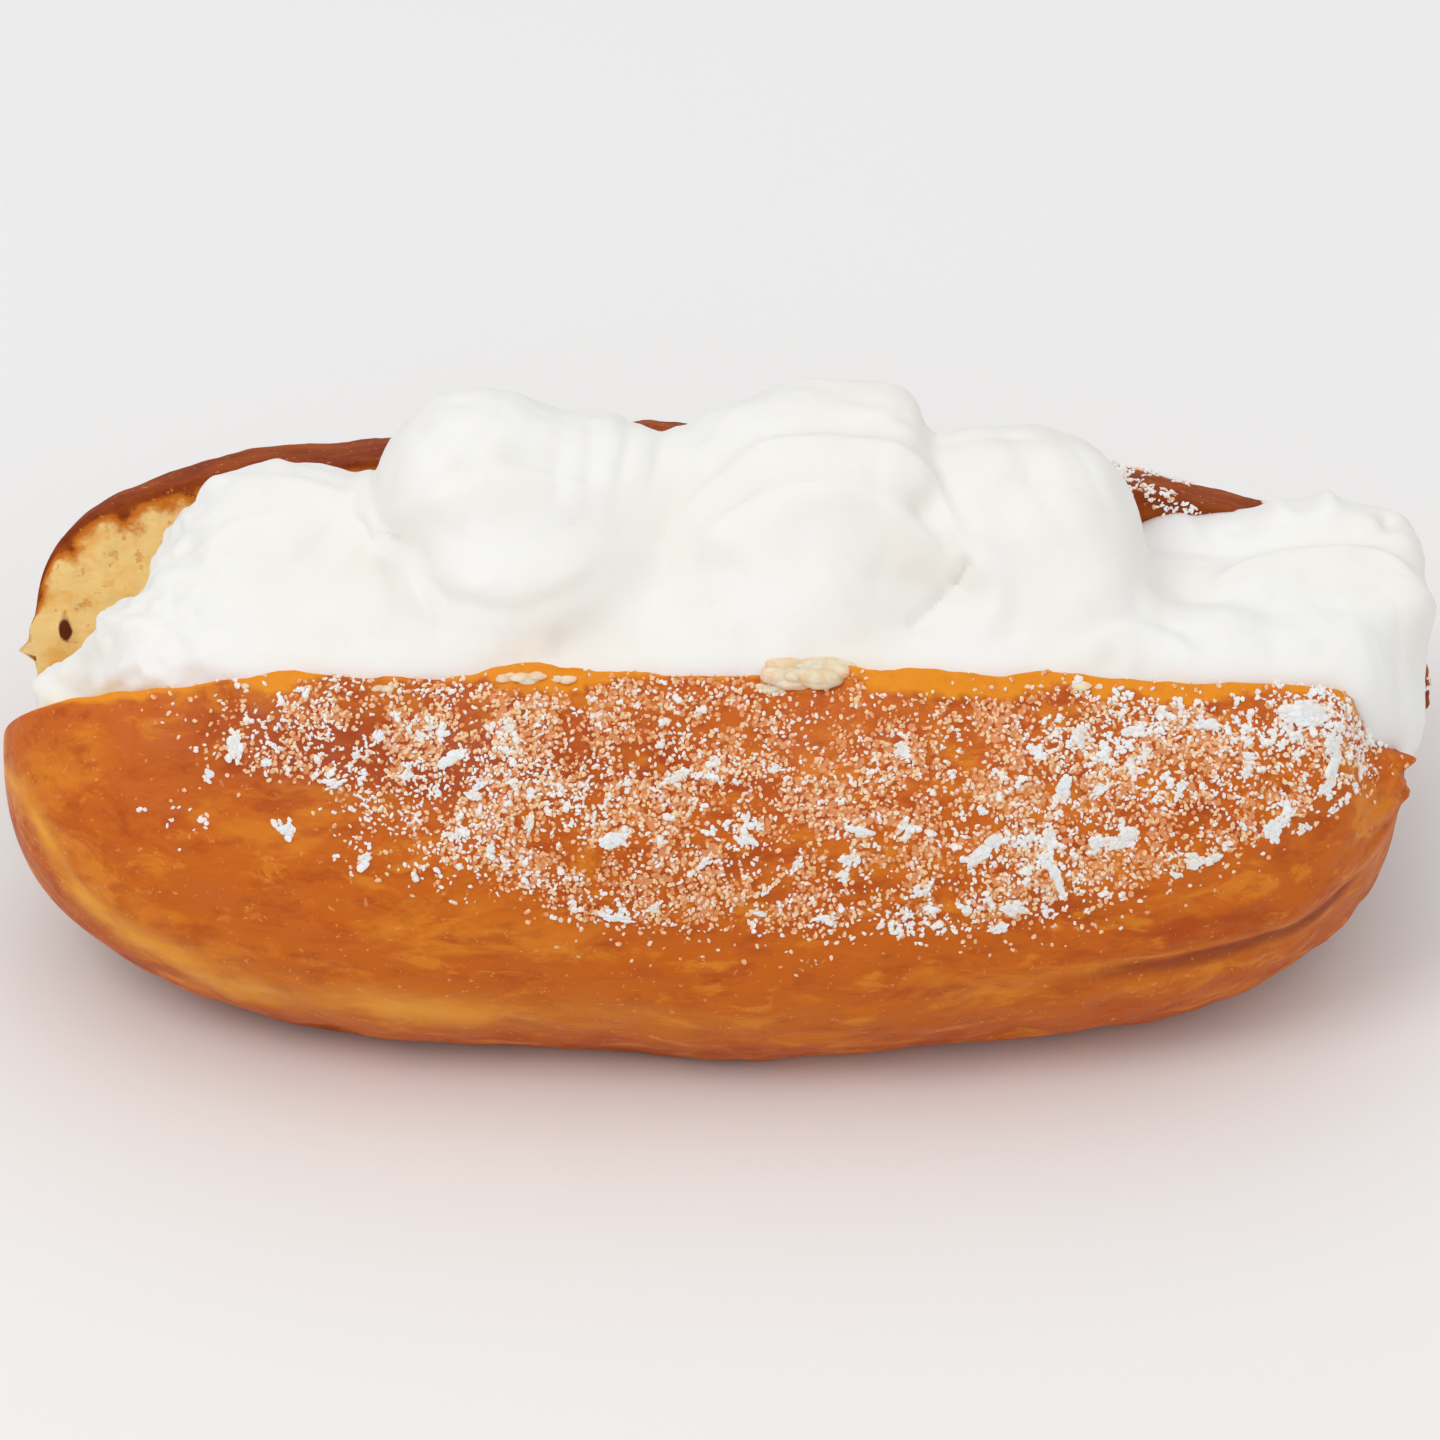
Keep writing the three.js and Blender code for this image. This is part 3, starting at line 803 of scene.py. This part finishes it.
# What was smeared and folded on the cream's front, placed in mm right of and above the middle of
# the picture. A fold is an arc, a layer's edge: middle, half sizes, the angles that it runs between
# and how far its inside stands proud.
folds = [
    ((-44.5, 11), (13.2, 11), (-8, 72), 1.5), ((-44.5, 11), (13, 10.5), (80, 172), 0.5),
    ((-49, 14.5), (16.5, 10.5), (40, 160), 0.5), ((-64, 4.5), (9.5, 8.5), (5, 110), 0.3),
    ((-22.5, 20.4), (10, 7.2), (200, 335), 0.5), ((-22, 17.5), (11.5, 8.6), (35, 150), 0.8),
    ((-23.5, 22), (15, 11.5), (120, 190), 0.6), ((-17, 20), (17.5, 14), (15, 80), 0.5),
    ((10.8, 14.6), (15.6, 15), (12, 168), 0.9), ((10.8, 14.6), (12.6, 9.4), (5, 172), 1.1),
    ((11.5, 13), (17.5, 9.5), (-30, 40), 0.9), ((9.5, 22), (13.5, 12), (20, 150), 0.4),
    ((36, 8), (17.5, 20.5), (25, 60), 0.5), ((62.5, 8.4), (13, 9.4), (8, 140), 1.0),
    ((63, 12), (12.5, 9.5), (30, 130), 0.4), ((44, 0.5), (9, 9), (40, 130), 0.4),
]
ribs = [  # middle, half sizes of the patch, direction of its ribs in degrees, spacing, height
    ((-10.5, 28), (7, 5), 85, 3.6, 0.45), ((33.5, 25), (8, 8), -58, 5.2, 0.55),
    ((-51, 18), (9, 6), 35, 4.2, 0.25), ((62, 18.5), (11, 3.5), 8, 2.6, 0.3),
    ((12, 31), (13, 3.5), 4, 3, 0.3), ((-26, 29), (8, 6), 60, 4, 0.3),
]
dimples = [  # middle, half width, depth
    ((21.8, 22.1), 1.3, 1.0), ((-13, 9.3), 2.8, 0.9), ((-16.5, 8), 1.6, 0.7), ((45.5, 5.6), 2.6, 1.0),
    ((41.5, 6.2), 1.6, 0.7), ((-40.5, 8.5), 1.8, 0.6), ((49.5, 13.5), 3, 0.7), ((-26.5, 26.6), 1.8, 0.5),
    ((-20.5, 27.4), 1.4, 0.5), ((63.5, 7), 1.2, 0.4), ((58.8, 22.5), 1.4, -0.9), ((64.1, 22.9), 1.5, -1.2),
    ((70.2, 20.6), 1.0, 1.0), ((-60, 17), 1.5, -0.7), ((-64.5, 11), 1.4, -0.8), ((-56, 22), 1.2, -0.5),
    ((-47, 27), 1.2, -0.5), ((53, 20), 1.2, -0.5),
]
# Slits: from, to, half width, depth
slits = [((20.2, 10.8), (23.2, 13.4), 0.6, 0.75), ((24.6, 14.6), (25.9, 16.8), 0.6, 1.0)]
trimmed = {"right": (68, 74), "low": (-12, -6), "depth": 1.1}  # the cream's corner above the right tip
puffs = {"span": 13, "height": 1.0, "fineSpan": 5.5, "fineHeight": 0.4, "grain": 0.12, "smear": 1.5}


def outsideCream(points):
    near = 0
    for at, size, lean, power in mounds:
        tilt = math.radians(lean)
        x, y, z = (points[..., axis] - at[axis] for axis in range(3))
        parts = (x * math.cos(tilt) - z * math.sin(tilt), y, x * math.sin(tilt) + z * math.cos(tilt))
        reach = sum(np.abs(part / half) ** power for part, half in zip(parts, size)) ** (1 / power)
        near = near + np.exp((1 - reach) * min(size) / cream["blend"])
    return -cream["blend"] * np.log(near)


# Walks in from far away along each direction, by as much as the cream is sure to be away
def creamEdge(start, direction, far):
    reach = np.full(np.broadcast_shapes(start.shape, direction.shape)[:-1], float(far))
    for _ in range(cream["steps"]):
        reach = reach - outsideCream(start + direction * reach[..., None])
        reach = np.maximum(reach, 0)
    return start + direction * reach[..., None]


# Where points show in the picture, in mm right of and above its middle
def inPicture(points):
    rise = math.radians(camera["elevation"])
    back = np.array([0, -math.cos(rise), math.sin(rise)])
    up = np.array([0, math.sin(rise), math.cos(rise)])
    away = points - np.array(camera["aim"])
    closer = camera["distance"] / (camera["distance"] - away @ back)
    return away[:, 0] * closer, (away @ up) * closer


def foldHeight(points):
    wobble = 0.7 * np.stack([softNoise(points, 7, seed) for seed in (81, 82)])
    u, v = np.stack(inPicture(points)) + wobble
    total = 0
    for (cu, cv), (a, b), (start, end), rise in folds:
        x, y = (u - cu) / a, (v - cv) / b
        off = (np.hypot(x, y) - 1) * min(a, b)
        turn = np.degrees(np.arctan2(y, x))
        middle, half = (start + end) / 2, (end - start) / 2
        away = np.abs((turn - middle + 180) % 360 - 180)
        along = 1 - smoothstep(away, half - 20, half + 6)
        outside = 1.7 * np.exp(-(off / 0.9) ** 2) - 0.7 * np.exp(-(off / 2.2) ** 2)
        total = total + rise * along * np.where(off < 0, np.exp(-(off / 4.2) ** 2), outside)
    for (cu, cv), (a, b), lean, spacing, height in ribs:
        turn = math.radians(lean)
        across = (u - cu) * math.sin(turn) - (v - cv) * math.cos(turn)
        patch = np.exp(-((u - cu) / a) ** 2 - ((v - cv) / b) ** 2)
        total = total + height * patch * (np.abs(np.sin(math.pi * across / spacing)) - 0.6)
    for (cu, cv), width, depth in dimples:
        total = total - depth * np.exp(-((u - cu) ** 2 + (v - cv) ** 2) / width ** 2)
    for start, end, width, depth in slits:
        start, along = np.array(start), np.array(end) - np.array(start)
        share = np.clip(((u - start[0]) * along[0] + (v - start[1]) * along[1]) / (along @ along), 0, 1)
        off = np.hypot(u - start[0] - share * along[0], v - start[1] - share * along[1])
        total = total - depth * np.exp(-(off / width) ** 2)
    corner = trimmed["depth"] * smoothstep(u, *trimmed["right"]) * smoothstep(-v, *trimmed["low"])
    return total * smoothstep(-points[:, 1], -22, -10) - corner


# Soft rounded lumps that meet in creases, and a rough smear at the left end
def puffHeight(points):
    broad = np.abs(softNoise(points * (1, 1, 1.3), puffs["span"], 51))
    broad = broad + 0.5 * np.abs(softNoise(points, puffs["span"] / 2, 52))
    fine = np.abs(softNoise(points, puffs["fineSpan"], 53)) * (0.5 + 0.5 * softNoise(points, 20, 54))
    rough = roughNoise(points, 2.2, 3, 57)
    smeared = puffs["smear"] * (roughNoise(points, 4, 3, 58) - 0.5) * smoothstep(-points[:, 0], 48, 56)
    return puffs["height"] * (broad - 0.5) + puffs["fineHeight"] * fine + puffs["grain"] * rough + smeared


def makeCream(bun):
    rows, sides = cream["grid"]
    y, z = cream["axis"]
    ends = [creamEdge(np.array([0.0, y, z]), np.array([d, 0.0, 0.0]), cream["halfLength"]) for d in (-1, 1)]
    k = np.linspace(-1, 1, rows + 2)[1:-1]
    share = (1 - cream["endCrowding"]) * k + cream["endCrowding"] * np.sin(np.pi / 2 * k)
    start = ends[0] + (ends[1] - ends[0]) * ((share + 1) / 2)[:, None]
    turn = 2 * np.pi * np.arange(sides) / sides
    direction = np.stack([0 * turn, np.cos(turn), np.sin(turn)], axis=-1)
    rings = creamEdge(start[:, None], direction[None], cream["reach"])
    made = ringObject("whippedCream", rings, ends, {})
    points = pointsOf(made)
    movePoints(made, points + normalsOf(made) * (puffHeight(points) + foldHeight(points))[:, None])
    joinSolids(made, [bun], "DIFFERENCE")
    print("cream:", len(made.data.polygons), "faces")
    return made


def creamMaterial():
    shader = Shader("whippedCream")
    tint = shader.blend(shader.patches(0.35, 0.65, 22, 2), paint(249, 248, 245), paint(246, 244, 238))
    low = shader.bump(shader.noise(2.6, 3, 0.55), 0.25, 0.35)
    grain = shader.bump(shader.noise(0.45, 2, 0.5), 0.05, 0.35, below=low)
    shader.set(Base_Color=tint, Roughness=0.5, Normal=grain, Specular_IOR_Level=0.35)
    shader.set(Subsurface_Weight=0.35, Subsurface_Scale=3.0 * mm, Subsurface_Radius=(1.0, 0.9, 0.75))
    return shader.material


# Icing sugar

sugar = {
    "shapes": 6, "level": 1,
    "clumps": {"tries": 88, "longest": 4.4, "shortest": 1.8, "slender": 0.67, "thickness": 0.7,
               "shares": (-0.72, 0.9), "thickens": (0.1, 0.7), "leftShare": 0.5, "lowest": 40,
               "riseLeft": 56, "riseRight": 13, "highest": 79, "lumpSizes": (0.16, 0.32)},
    "flakes": {"cover": "sugar", "density": 1.35e6, "smallest": 0.5, "largest": 1.6, "seed": 3, "lumps": 3,
               "form": (0.5, 0.5, 0.4)},
    "specks": {"cover": "dust", "density": 3.2e6, "smallest": 0.3, "largest": 0.62, "seed": 8, "lumps": 1,
               "form": (0.65, 0.36, 0.34)},
    "melts": {"cover": "melting", "density": 3.4e6, "smallest": 0.26, "largest": 0.68, "seed": 12, "lumps": 1,
              "form": (0.6, 0.42, 0.3)},
}
# The largest heaps, which lie loose: share along the front half, angle, length, width, turn
heaps = [
    (0.84, 83, 7, 3.6, 0), (0.88, 70, 5.5, 2.6, 1.4), (0.87, 63, 3.5, 1.8, 0.4), (0.8, 56, 5, 2.4, 0.5),
    (0.71, 50, 3.5, 2, 0.1), (0.58, 57, 4.5, 2.4, 0.3), (0.49, 50, 4.5, 2.2, 1.9), (0.41, 39, 3, 1.6, 0.3),
    (0.39, 57, 5.5, 2.8, 0.6), (0.22, 61, 4.2, 2, -0.2), (0.6, 80, 4, 1.8, 0.2), (0.7, 81, 4.5, 2, 0),
    (-0.35, 75, 4.5, 2, 0.5), (-0.45, 79, 3.5, 1.6, 1.2), (-0.51, 69, 3.2, 1.4, 0.3),
    (-0.24, 62, 3, 1.4, 1.3),
    (-0.12, 43, 5, 1.2, -0.15), (0.55, 68, 3, 1.5, 0.7), (0, 55, 2.6, 1.2, 0.8), (0.1, 74, 2.6, 1.2, 0.2),
    (-0.27, 80, 2.6, 1.2, 0.4), (0.08, 44, 2.6, 1.1, 0.1), (-0.04, 72, 4, 1.5, 0.3),
    (0.31, 49, 2.4, 1.2, 0.9),
    (-0.41, 72, 2.8, 1.3, 0.9), (-0.48, 75, 2.4, 1.2, 0.2), (-0.31, 70, 2.6, 1.2, 0.5),
    (-0.38, 81, 2.2, 1.1, 0),
    (0.06, 64, 3, 1.5, 1.4), (0.13, 55, 2.4, 1.3, 0.6), (-0.06, 60, 2.6, 1.4, 0.2), (0.17, 43, 3.4, 1.2, 0.1),
]


# The same chance numbers from 0 to 1 as in the solid's source
def draw(i, use):
    wave = math.sin(12.9898 * i + 78.233 * use) * 43758.5453
    return wave - math.floor(wave)


# The places of the solid's clumps, then those of the heaps
def clumpPlaces():
    size = sugar["clumps"]
    first, last = size["shares"]
    for i in range(1, size["tries"] + 1):
        s = first + (last - first) * draw(i, 1)
        wanted = size["leftShare"] + (1 - size["leftShare"]) * float(smoothstep(s, *size["thickens"]))
        if draw(i, 2) > wanted:
            continue
        lowest = size["lowest"] + (size["riseLeft"] if s < 0 else size["riseRight"]) * s ** 2
        angle = lowest + (size["highest"] - lowest) * draw(i, 3)
        length = size["shortest"] + (size["longest"] - size["shortest"]) * draw(i, 4) ** 2
        yield i, s, angle, length, size["slender"] * length, 2 * math.pi * draw(i, 5)
    for i, heap in enumerate(heaps):
        yield 200 + i, *heap


# A ragged heap of small lumps in a crooked row, within an oval of half sizes 1, 1 and 1
def raggedHeap(lumps, level, seed, sizes=(0.25, 0.48)):
    points, faces = ball(level)
    random = np.random.default_rng(seed)
    places = [np.zeros(2)]
    for _ in range(lumps - 1):
        turn = random.uniform(0, 2 * np.pi)
        step = random.uniform(0.35, 0.6) * np.array([math.cos(turn), math.sin(turn)])
        places.append(places[random.integers(len(places))] + step)
    places = np.array(places) - np.mean(places, axis=0)
    places = places * 0.75 / max(0.75, np.abs(places).max())
    parts = []
    for i, (x, y) in enumerate(places):
        size = random.uniform(*sizes)
        rough = 1 + 0.6 * roughNoise(points + 7 * i + seed, 0.9, 2, 61)
        parts.append(points * rough[:, None] * size + (x, y, 0.35 * size))
    heap, allFaces = together(parts, faces)
    return heap / np.abs(heap[:, :2]).max(), allFaces


def makeClumps():
    half = halves["front"]
    allPoints, allFaces, count = [], [], 0
    for i, s, angle, length, width, turn in clumpPlaces():
        at = onCrust(half, s, angle)
        along = onCrust(half, s + 0.01, angle) - at
        along = along / np.linalg.norm(along)
        outward = np.cross(along, onCrust(half, s, angle + 0.5) - at)
        outward = outward / np.linalg.norm(outward)
        across = np.cross(outward, along)
        points, faces = raggedHeap(int(6 + 5 * length), 2, i, sugar["clumps"]["lumpSizes"])
        lump = points * (0.45 * length, 0.45 * width, sugar["clumps"]["thickness"])
        c, s = math.cos(turn), math.sin(turn)
        spin = np.array([[c, -s, 0], [s, c, 0], [0, 0, 1]])
        allFaces += (np.array(faces) + count).tolist()
        allPoints.append(lump @ spin.T @ np.stack([along, across, outward]) + at)
        count += len(points)
    made = meshObject("sugarClumps", np.concatenate(allPoints), allFaces)
    print("sugar clumps:", len(allPoints))
    return made


# Several shapes of grain in a collection, for the scattering to pick from
def grainShapes(name, size):
    shapes = bpy.data.collections.new(name)
    for i in range(sugar["shapes"]):
        points, faces = raggedHeap(size["lumps"], sugar["level"], size["seed"] + 10 * i)
        grain = meshObject(name + str(i), points * size["form"], faces)
        bpy.context.scene.collection.objects.unlink(grain)
        shapes.objects.link(grain)
    return shapes


# Geometry Nodes that scatter grains over the crust where the sugar lies
def scatterTree(name, cover, shapes, material):
    tree = bpy.data.node_groups.new(name, "GeometryNodeTree")
    face = tree.interface
    for way in ("INPUT", "OUTPUT"):
        face.new_socket("Geometry", in_out=way, socket_type="NodeSocketGeometry")
    sockets = {}
    for label, kind in (("Density", "Float"), ("Smallest", "Float"), ("Largest", "Float"), ("Seed", "Int")):
        sockets[label] = face.new_socket(label, in_out="INPUT", socket_type="NodeSocket" + kind).identifier

    def add(kind, inputs=None, **settings):
        return addNode(tree, kind, inputs, **settings)

    start = add("NodeGroupInput")
    cover = add("GeometryNodeInputNamedAttribute", {"Name": cover}, data_type="FLOAT").outputs["Attribute"]
    density = add("ShaderNodeMath", {0: cover, 1: start.outputs["Density"]}, operation="MULTIPLY").outputs[0]
    spread = add("GeometryNodeDistributePointsOnFaces",
                 {"Mesh": start.outputs["Geometry"], "Density": density, "Seed": start.outputs["Seed"]})
    size = add("FunctionNodeRandomValue", {2: start.outputs["Smallest"], 3: start.outputs["Largest"]},
               data_type="FLOAT")
    turns = {0: (-0.5, -0.5, 0), 1: (0.5, 0.5, 2 * math.pi)}
    spin = add("FunctionNodeRandomValue", turns, data_type="FLOAT_VECTOR")
    turned = add("FunctionNodeRotateEuler", {0: spread.outputs["Rotation"], 1: spin.outputs[0]},
                 space="LOCAL")
    shape = add("GeometryNodeCollectionInfo",
                {"Collection": shapes, "Separate Children": True, "Reset Children": True})
    placed = add("GeometryNodeInstanceOnPoints", {
        "Points": spread.outputs["Points"], "Instance": shape.outputs["Instances"], "Pick Instance": True,
        "Rotation": turned.outputs[0], "Scale": size.outputs[1]})
    real = add("GeometryNodeRealizeInstances", {"Geometry": placed.outputs["Instances"]})
    finished = add("GeometryNodeSetMaterial", {"Geometry": real.outputs["Geometry"], "Material": material})
    add("NodeGroupOutput", {0: finished.outputs["Geometry"]})
    return tree, sockets


def scatterSugar(name, bun, material):
    size = sugar[name]
    shapes = grainShapes(name + "Grain", size)
    host = linked(bun.copy())
    host.data = bun.data.copy()
    host.name = "sugar" + name.capitalize()
    tree, sockets = scatterTree(host.name, size["cover"], shapes, material)
    modifier = host.modifiers.new("scatter", "NODES")
    modifier.node_group = tree
    for label, socket in sockets.items():
        modifier[socket] = size[label.lower()]
    applyModifiers(host)
    removeObjects(*shapes.objects)
    bpy.data.collections.remove(shapes)
    print(host.name + ":", len(host.data.polygons), "faces")
    return host


def sugarMaterial(name, between, melting):
    shader = Shader(name)
    share = shader.times(shader.patches(*between, 1.4, 2), melting)
    warm = shader.blend(shader.patches(0.4, 0.62, 0.9, 2), paint(255, 216, 172), paint(240, 164, 104))
    colour = shader.blend(share, paint(252, 248, 247), warm)
    shader.set(Base_Color=colour, Roughness=0.85, Subsurface_Weight=0.2, Subsurface_Scale=0.5 * mm)
    shader.set(Normal=shader.bump(shader.noise(0.25, 3, 0.6), 0.06, 0.6))
    return shader.material


# Crumbs torn from the cut that lie along the front lip

crumbs = {
    "seed": 23, "angle": 88, "form": (1.6, 0.9, 0.65),
    "tufts": [  # picture place in mm right of the middle, height over the lip, length, thickness, count
        (9.5, 2.0, 5.5, 2.4, 18), (-20, 0.9, 4.5, 1.0, 9), (-15.5, 0.7, 2.0, 0.8, 4), (5.8, 0.2, 2.5, 1.2, 5),
        (-47, 0.2, 2.5, 0.7, 3), (37.5, 0.2, 3.0, 1.0, 3), (-34, 0.0, 2.0, 0.8, 2),
    ],
}


def makeCrumbs():
    points, faces = ball(3)
    half = halves["front"]
    random = np.random.default_rng(crumbs["seed"])
    lumps = []
    for x, rise, length, thick, number in crumbs["tufts"]:
        for _ in range(number):
            place = x + length * random.uniform(-0.45, 0.45)
            at = onCrust(half, shareAlong(half, place), crumbs["angle"])
            size = thick * random.uniform(0.35, 0.75)
            rough = 1 + 0.35 * roughNoise(points + random.uniform(0, 50), 1.0, 3, 91)
            shift = (0, 0.5 * thick * random.uniform(0, 1.6), rise * random.uniform(0.2, 1) - 0.2)
            lumps.append(points * rough[:, None] * size * crumbs["form"] + at + shift)
    made = meshObject("tornCrumbs", *together(lumps, faces))
    print("crumbs:", len(lumps))
    return made


def crumbMaterial():
    shader = Shader("tornCrumb")
    tone = shader.blend(shader.patches(0.35, 0.65, 1.6, 3, 0.6), paint(250, 228, 202), paint(244, 206, 166))
    shader.set(Base_Color=tone, Roughness=0.8, Subsurface_Weight=0.25, Subsurface_Scale=1.0 * mm)
    shader.set(Normal=shader.bump(shader.noise(0.8, 3), 0.2, 0.5))
    return shader.material


# Studio

camera = {"elevation": 36, "distance": 750, "aim": (0.45, -5.2, 23.7), "frameWidth": 152.45, "sensor": 36}
lights = {  # place in m, size, power, colour
    "key": ((-0.45, -0.45, 0.85), 0.5, 2.5, (1, 0.99, 0.97)),
    "fill": ((0.8, -0.7, 0.6), 0.9, 0.8, (1, 1, 1)),
    "rear": ((0.2, 0.9, 0.7), 0.8, 0.45, (1, 1, 1)),
}
studio = {"litAt": (0, 0, 0.03), "sky": (0.35, 0.95), "floor": (0.9, 0.9, 0.9, 1), "floorHalf": 3000}


def placeObject(name, data, at, away):
    made = linked(bpy.data.objects.new(name, data))
    made.location = at
    made.rotation_mode = "QUATERNION"
    made.rotation_quaternion = away.to_track_quat("-Z", "Y")
    return made


def makeCamera():
    rise = math.radians(camera["elevation"])
    back = Vector((0, -math.cos(rise), math.sin(rise)))
    lens = bpy.data.cameras.new("camera")
    lens.sensor_width = camera["sensor"]
    lens.lens = camera["sensor"] * camera["distance"] / camera["frameWidth"]
    lens.clip_start, lens.clip_end = 0.01, 20
    at = (Vector(camera["aim"]) + back * camera["distance"]) * mm
    bpy.context.scene.camera = placeObject("camera", lens, at, -back)


# A sky that is darker below than above, so that the underside isn't lit too much
def makeSky():
    world = bpy.data.worlds.new("studio")
    world.use_nodes = True
    tree = world.node_tree
    sky = tree.nodes["Background"]
    sky.inputs["Color"].default_value = (1, 1, 1, 1)
    direction = addNode(tree, "ShaderNodeTexCoord").outputs["Generated"]
    parts = addNode(tree, "ShaderNodeSeparateXYZ", {0: direction})
    dark, light = studio["sky"]
    inputs = {"Value": parts.outputs["Z"], "To Min": dark, "To Max": light}
    feed(tree, sky.inputs["Strength"], addNode(tree, "ShaderNodeMapRange", inputs).outputs["Result"])
    bpy.context.scene.world = world


def makeStudio():
    for name, (at, size, power, colour) in lights.items():
        data = bpy.data.lights.new(name, "AREA")
        data.shape, data.size, data.energy, data.color = "DISK", size, power, colour
        placeObject(name, data, at, Vector(studio["litAt"]) - Vector(at))
    makeSky()
    bpy.context.scene.view_settings.view_transform = "Standard"
    shader = Shader("paleFloor")
    shader.set(Base_Color=studio["floor"], Roughness=0.9)
    corners = np.array([(-1, -1, 0), (1, -1, 0), (1, 1, 0), (-1, 1, 0)]) * float(studio["floorHalf"])
    floor = meshObject("floor", corners, [(0, 1, 2, 3)])
    floor.data.materials.append(shader.material)


def finishPiece(piece, material, node):
    piece.data.materials.clear()
    piece.data.materials.append(material)
    for polygon in piece.data.polygons:
        polygon.material_index = 0
    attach(piece, "root")
    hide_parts(node)


def main():
    makeCamera()
    bun = makeBun()
    toneBun(bun)
    smoothFaces(bun, 50)
    whipped = makeCream(bun)
    smoothFaces(whipped, 45)
    sugarWhite = sugarMaterial("icingSugar", (0.4, 0.64), 0.2)
    sugarMelting = sugarMaterial("meltingSugar", (0.26, 0.5), 1.0)
    clumps = makeClumps()
    smoothFaces(clumps, 60)
    flakes = scatterSugar("flakes", bun, sugarWhite)
    specks = scatterSugar("specks", bun, sugarWhite)
    melts = scatterSugar("melts", bun, sugarMelting)
    torn = makeCrumbs()
    smoothFaces(torn, 60)
    finishPiece(torn, crumbMaterial(), "bun")
    finishPiece(bun, crustMaterial(), "bun")
    finishPiece(whipped, creamMaterial(), "cream")
    finishPiece(melts, sugarMelting, "bun")
    for piece in (clumps, flakes, specks):
        finishPiece(piece, sugarWhite, "bun")
    makeStudio()


main()
